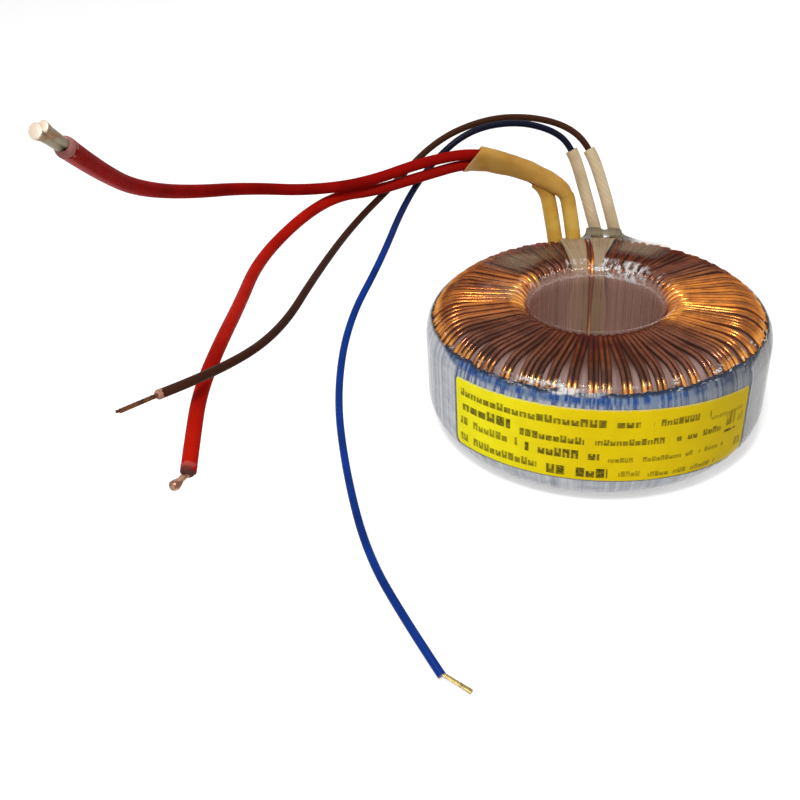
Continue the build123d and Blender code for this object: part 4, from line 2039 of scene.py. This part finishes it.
BROWN_ROUTE: List[Point] = [
    (0.0080, 0.0440, 0.0365), (0.0040, 0.0500, 0.0495), (-0.0015, 0.0570, 0.0635),
    (-0.0085, 0.0605, 0.0700), (-0.0210, 0.0595, 0.0740), (-0.0355, 0.0555, 0.0748),
    (-0.0510, 0.0480, 0.0705), (-0.0633, 0.0351, 0.0608), (-0.0722, 0.0070, 0.0578),
    (-0.0750, -0.0300, 0.0590), (-0.0765, -0.0610, 0.0590), (-0.0815, -0.0875, 0.0640),
    (-0.0900, -0.1030, 0.0671),
]
BLUE_ROUTE: List[Point] = [
    (0.0020, 0.0445, 0.0365), (-0.0025, 0.0500, 0.0500), (-0.0075, 0.0550, 0.0645),
    (-0.0135, 0.0555, 0.0705), (-0.0260, 0.0530, 0.0745), (-0.0405, 0.0495, 0.0730),
    (-0.0520, 0.0430, 0.0650), (-0.0590, 0.0245, 0.0580), (-0.0630, 0.0000, 0.0495),
    (-0.0705, -0.0180, 0.0383), (-0.0705, -0.0390, 0.0270), (-0.0640, -0.0625, 0.0190),
    (-0.0550, -0.0850, 0.0113), (-0.0430, -0.1020, 0.0065), (-0.0340, -0.1120, 0.0013),
]


def build_leads() -> None:
    # painted highlight: pink on the lower front side of the lead's raised end
    crimson = Dyed(Dye("red_sleeving", (0.29, 0.005, 0.004, 1), (0.21, 0.004, 0.003, 1), 0.4, shine=0.001,
                       far=(0.40, 0.075, 0.08, 1), far_along=((0, 0, 1), 0.088, 0.110),
                       highlight_side=(-0.38, -0.78, -0.48)))
    scarlet = Dyed(Dye("red_sleeving_2", (0.43, 0.009, 0.003, 1), (0.35, 0.006, 0.003, 1), 0.45, shine=0.012,
                       far=(0.30, 0.006, 0.004, 1), far_along=((1, 0, 0), -0.080, -0.066)))
    brown = Dyed(Dye("brown_insulation", (0.042, 0.011, 0.005, 1), (0.030, 0.008, 0.004, 1), 0.4, shine=0.03,
                     far=(0.055, 0.020, 0.010, 1), far_along=((0, 0, 1), 0.062, 0.068)))
    # painted shade: near black where the lead arches high over the body
    blue = Dyed(Dye("blue_insulation", (0.003, 0.034, 0.26, 1), (0.002, 0.022, 0.16, 1), 0.3, shine=0.07,
                    far=(0.005, 0.006, 0.020, 1), far_along=((0, 0, 1), 0.047, 0.063)))
    white = Dyed(Dye("white_sleeving", (0.68, 0.55, 0.37, 1), (0.50, 0.38, 0.23, 1), 0.6, 0.7, 0.2))
    # painted shadow: amber on the upper part, in the shadow of the tan sleeve
    yellow = Dyed(Dye("yellow_sleeving", (0.66, 0.42, 0.085, 1), (0.54, 0.29, 0.035, 1), 0.4, 0.0, 0.3, 0.15,
                      far=(0.44, 0.22, 0.030, 1), far_along=((0, 0, 1), 0.047, 0.056)))
    tan = Dyed(Dye("tan_sleeving", (0.54, 0.30, 0.070, 1), (0.44, 0.22, 0.042, 1), 0.5, 0.0, 0.3, 0.1,
                   far=(0.60, 0.38, 0.17, 1), far_along=((-1, 0, 0), 0.036, 0.041)))
    pink = Dyed(Dye("red_sleeving_end", (0.46, 0.24, 0.22, 1), (0.30, 0.11, 0.10, 1), 0.5))
    dark = Dyed(Dye("red_sleeving_end_2", (0.42, 0.055, 0.045, 1), (0.36, 0.03, 0.025, 1), 0.5,
                     far=(0.085, 0.030, 0.028, 1), far_along=((0, -0.92, -0.39), 0.0803, 0.0812)))
    beige = Dyed(Dye("brown_insulation_end", (0.40, 0.20, 0.15, 1), (0.14, 0.04, 0.025, 1), 0.5))
    olive = BareMetal(Metal("tinned_copper", (0.24, 0.21, 0.145, 1), (0.24, 0.13, 0.07, 1),
                            (0.76, 0.64, 0.51, 1)))
    solder = BareMetal(Metal("tinned_copper_2", (0.46, 0.26, 0.17, 1), (0.20, 0.09, 0.06, 1),
                             (0.5, 0.3, 0.2, 1)))
    copper = BareMetal(Metal("copper_strands", (0.17, 0.060, 0.024, 1), (0.08, 0.030, 0.014, 1),
                             (0.03, 0.02, 0.01, 1)))
    golden = BareMetal(Metal("copper_strands_2", (0.40, 0.31, 0.12, 1), (0.20, 0.14, 0.05, 1),
                             (0.2, 0.1, 0.05, 1)))

    red_1 = Lead("red_lead_1", RED_1_ROUTE, 0.0033, 0.262, crimson, "red_sleeving")
    red_2 = Lead("red_lead_2", RED_2_ROUTE, 0.0033, 0.2226, scarlet, "red_sleeving")
    brown_lead = Lead("brown_lead", BROWN_ROUTE, 0.0021, 0.2509, brown, "brown_insulation")
    blue_lead = Lead("blue_lead", BLUE_ROUTE, 0.0021, 0.2628, blue, "blue_insulation")
    leads = (red_1, red_2, brown_lead, blue_lead)
    for lead in leads:
        lead.build()
    tips = ((-0.083, -0.133, 0.130), (-0.085, -0.116, 0.0538), (-0.0935, -0.1140, 0.0700),
            (-0.0270, -0.1155, 0.0008))
    flared = ((-0.3, 0.00078, 0.0004), (0.0, 0.00080, 0.0004), (0.5, 0.00084, 0.00040),
              (0.75, 0.00090, 0.00046), (0.95, 0.00098, 0.00062), (1.0, 0.00100, 0.00066))
    blob = ((-0.3, 0.0006, 0.0004), (0.05, 0.0006, 0.0003), (0.45, 0.00055, 0.0002),
            (0.66, 0.0009, 0.0002), (0.86, 0.0011, 0.0002), (1.0, 0.0007, 0.0001))
    cuff_1 = ((-0.0015, 0.00150), (-0.0011, 0.00172), (0.0001, 0.00169), (0.0006, 0.0014), (0.0008, 0.0010))
    cuff_2 = ((-0.0020, 0.00150), (-0.0016, 0.00173), (0.0, 0.0017), (0.0006, 0.0013), (0.0010, 0.0008))
    cuff_3 = ((-0.0009, 0.00106), (-0.0003, 0.00113), (0.0002, 0.00104), (0.0006, 0.0005))
    pieces = (
        Sleeve("white_sleeve_left", blue_lead, 0.0312, 0.00195, 0.0005, white, "white_sleeving"),
        Sleeve("white_sleeve_right", brown_lead, 0.0318, 0.00195, 0.0005, white, "white_sleeving"),
        Sleeve("yellow_sleeve_right", red_1, 0.0168, 0.00245, 0.0005, yellow, "yellow_sleeving"),
        Sleeve("yellow_sleeve_left", red_2, 0.0225, 0.00245, 0.0005, yellow, "yellow_sleeving"),
        BindingSleeve("binding_sleeve", red_1, red_2, tan),
        Cuff("red_lead_1_cuff", red_1, tips[0], cuff_1, pink, "red_sleeving"),
        Cuff("red_lead_2_cuff", red_2, tips[1], cuff_2, dark, "red_sleeving"),
        Cuff("brown_lead_cuff", brown_lead, tips[2], cuff_3, beige, "brown_insulation"),
        WirePairTip("red_lead_1_bare_end", red_1, tips[0], (0.83, 0.42, 0.37), olive, flared,
                    uneven=-0.14, tall=1.3),
        WirePairTip("red_lead_2_bare_end", red_2, tips[1], (-0.98, 0.1, -0.1), solder, blob, cut=0.0),
        StrandTip("brown_lead_bare_end", brown_lead, tips[2], copper, Turn.LEFT, fray=0.00005),
        StrandTip("blue_lead_bare_end", blue_lead, tips[3], golden, Turn.RIGHT),
    )
    for piece in pieces:
        piece.build()
    for lead in leads:
        lead.declare()


def build_strips() -> None:
    """Builds the two strips of lead tape, and the film gathered at the right one."""
    cloth = ClothTape()
    bend = 5.25
    turns = np.linspace(0.2, 1.5, 5)
    corner = [(24.85 - bend * math.sin(turn), 34.35 + bend * math.cos(turn)) for turn in turns]
    top = [(45.5, 37.75), (43.0, 38.75), (40.0, 39.55), (34.0, 39.64), (28.0, 39.64)]
    profile = top + corner + [(19.6, 25.0), (19.6, 8.0)]
    left = [(-171, 4.6), (-170.5, 4.3), (-170, 3.9), (-170, 3.5), (-169, 3.0), (-168, 2.6),
            (-168, 2.5), (-168, 2.4), (-168.3, 2.3), (-168.5, 2.3), (-166, 3.3), (-166, 3.4)]
    right = [(175, 5.0), (175.5, 4.5), (176, 3.9), (176, 2.8), (176.5, 1.8), (176.7, 1.4),
             (176.5, 1.4), (176, 1.4), (175.5, 1.4), (175, 1.5), (174, 2.3), (174, 2.4)]
    for node, places in (("secondary_lead_tape", left), ("primary_lead_tape", right)):
        LeadTape(node, [(*ends, *sizes) for ends, sizes in zip(profile, places)]).build(cloth)
    FilmCollar().build(LooseFilm())


def dress_nodes() -> None:
    """Gives each carried-over CAD node its finish."""
    inner = InnerFilm()
    finishes = {
        "core": RolledSteel(),
        "core_wrap": inner,
        "primary_winding": EnamelledCopper(),
        "thermal_cutout": Dyed(Dye("black_plastic", (0.02, 0.02, 0.02, 1), (0.03, 0.03, 0.03, 1), 0.5)),
        "interwinding_film": inner,
        "outer_film": ClearFilm(),
    }
    for node, finish in finishes.items():
        finish.dress(frame["nodes"][node])
        LOG.info("%s dressed", node)


def main() -> None:
    """Builds the studio and the transformer."""
    logging.basicConfig(level=logging.INFO, format="%(message)s")
    Studio().build()
    build_leads()
    SecondaryWinding().build(EnamelledCopper())
    TapeBand().build(BlueTape())
    LabelSheet().build(PrintedLabel())
    build_strips()
    dress_nodes()


if __name__ == "__main__":
    main()
    visual_box = [[float(x) for x in corner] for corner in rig.bounds()]
    with open("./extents.json", "w") as report:
        json.dump({"cad": CAD_BOX, "visual": visual_box}, report)
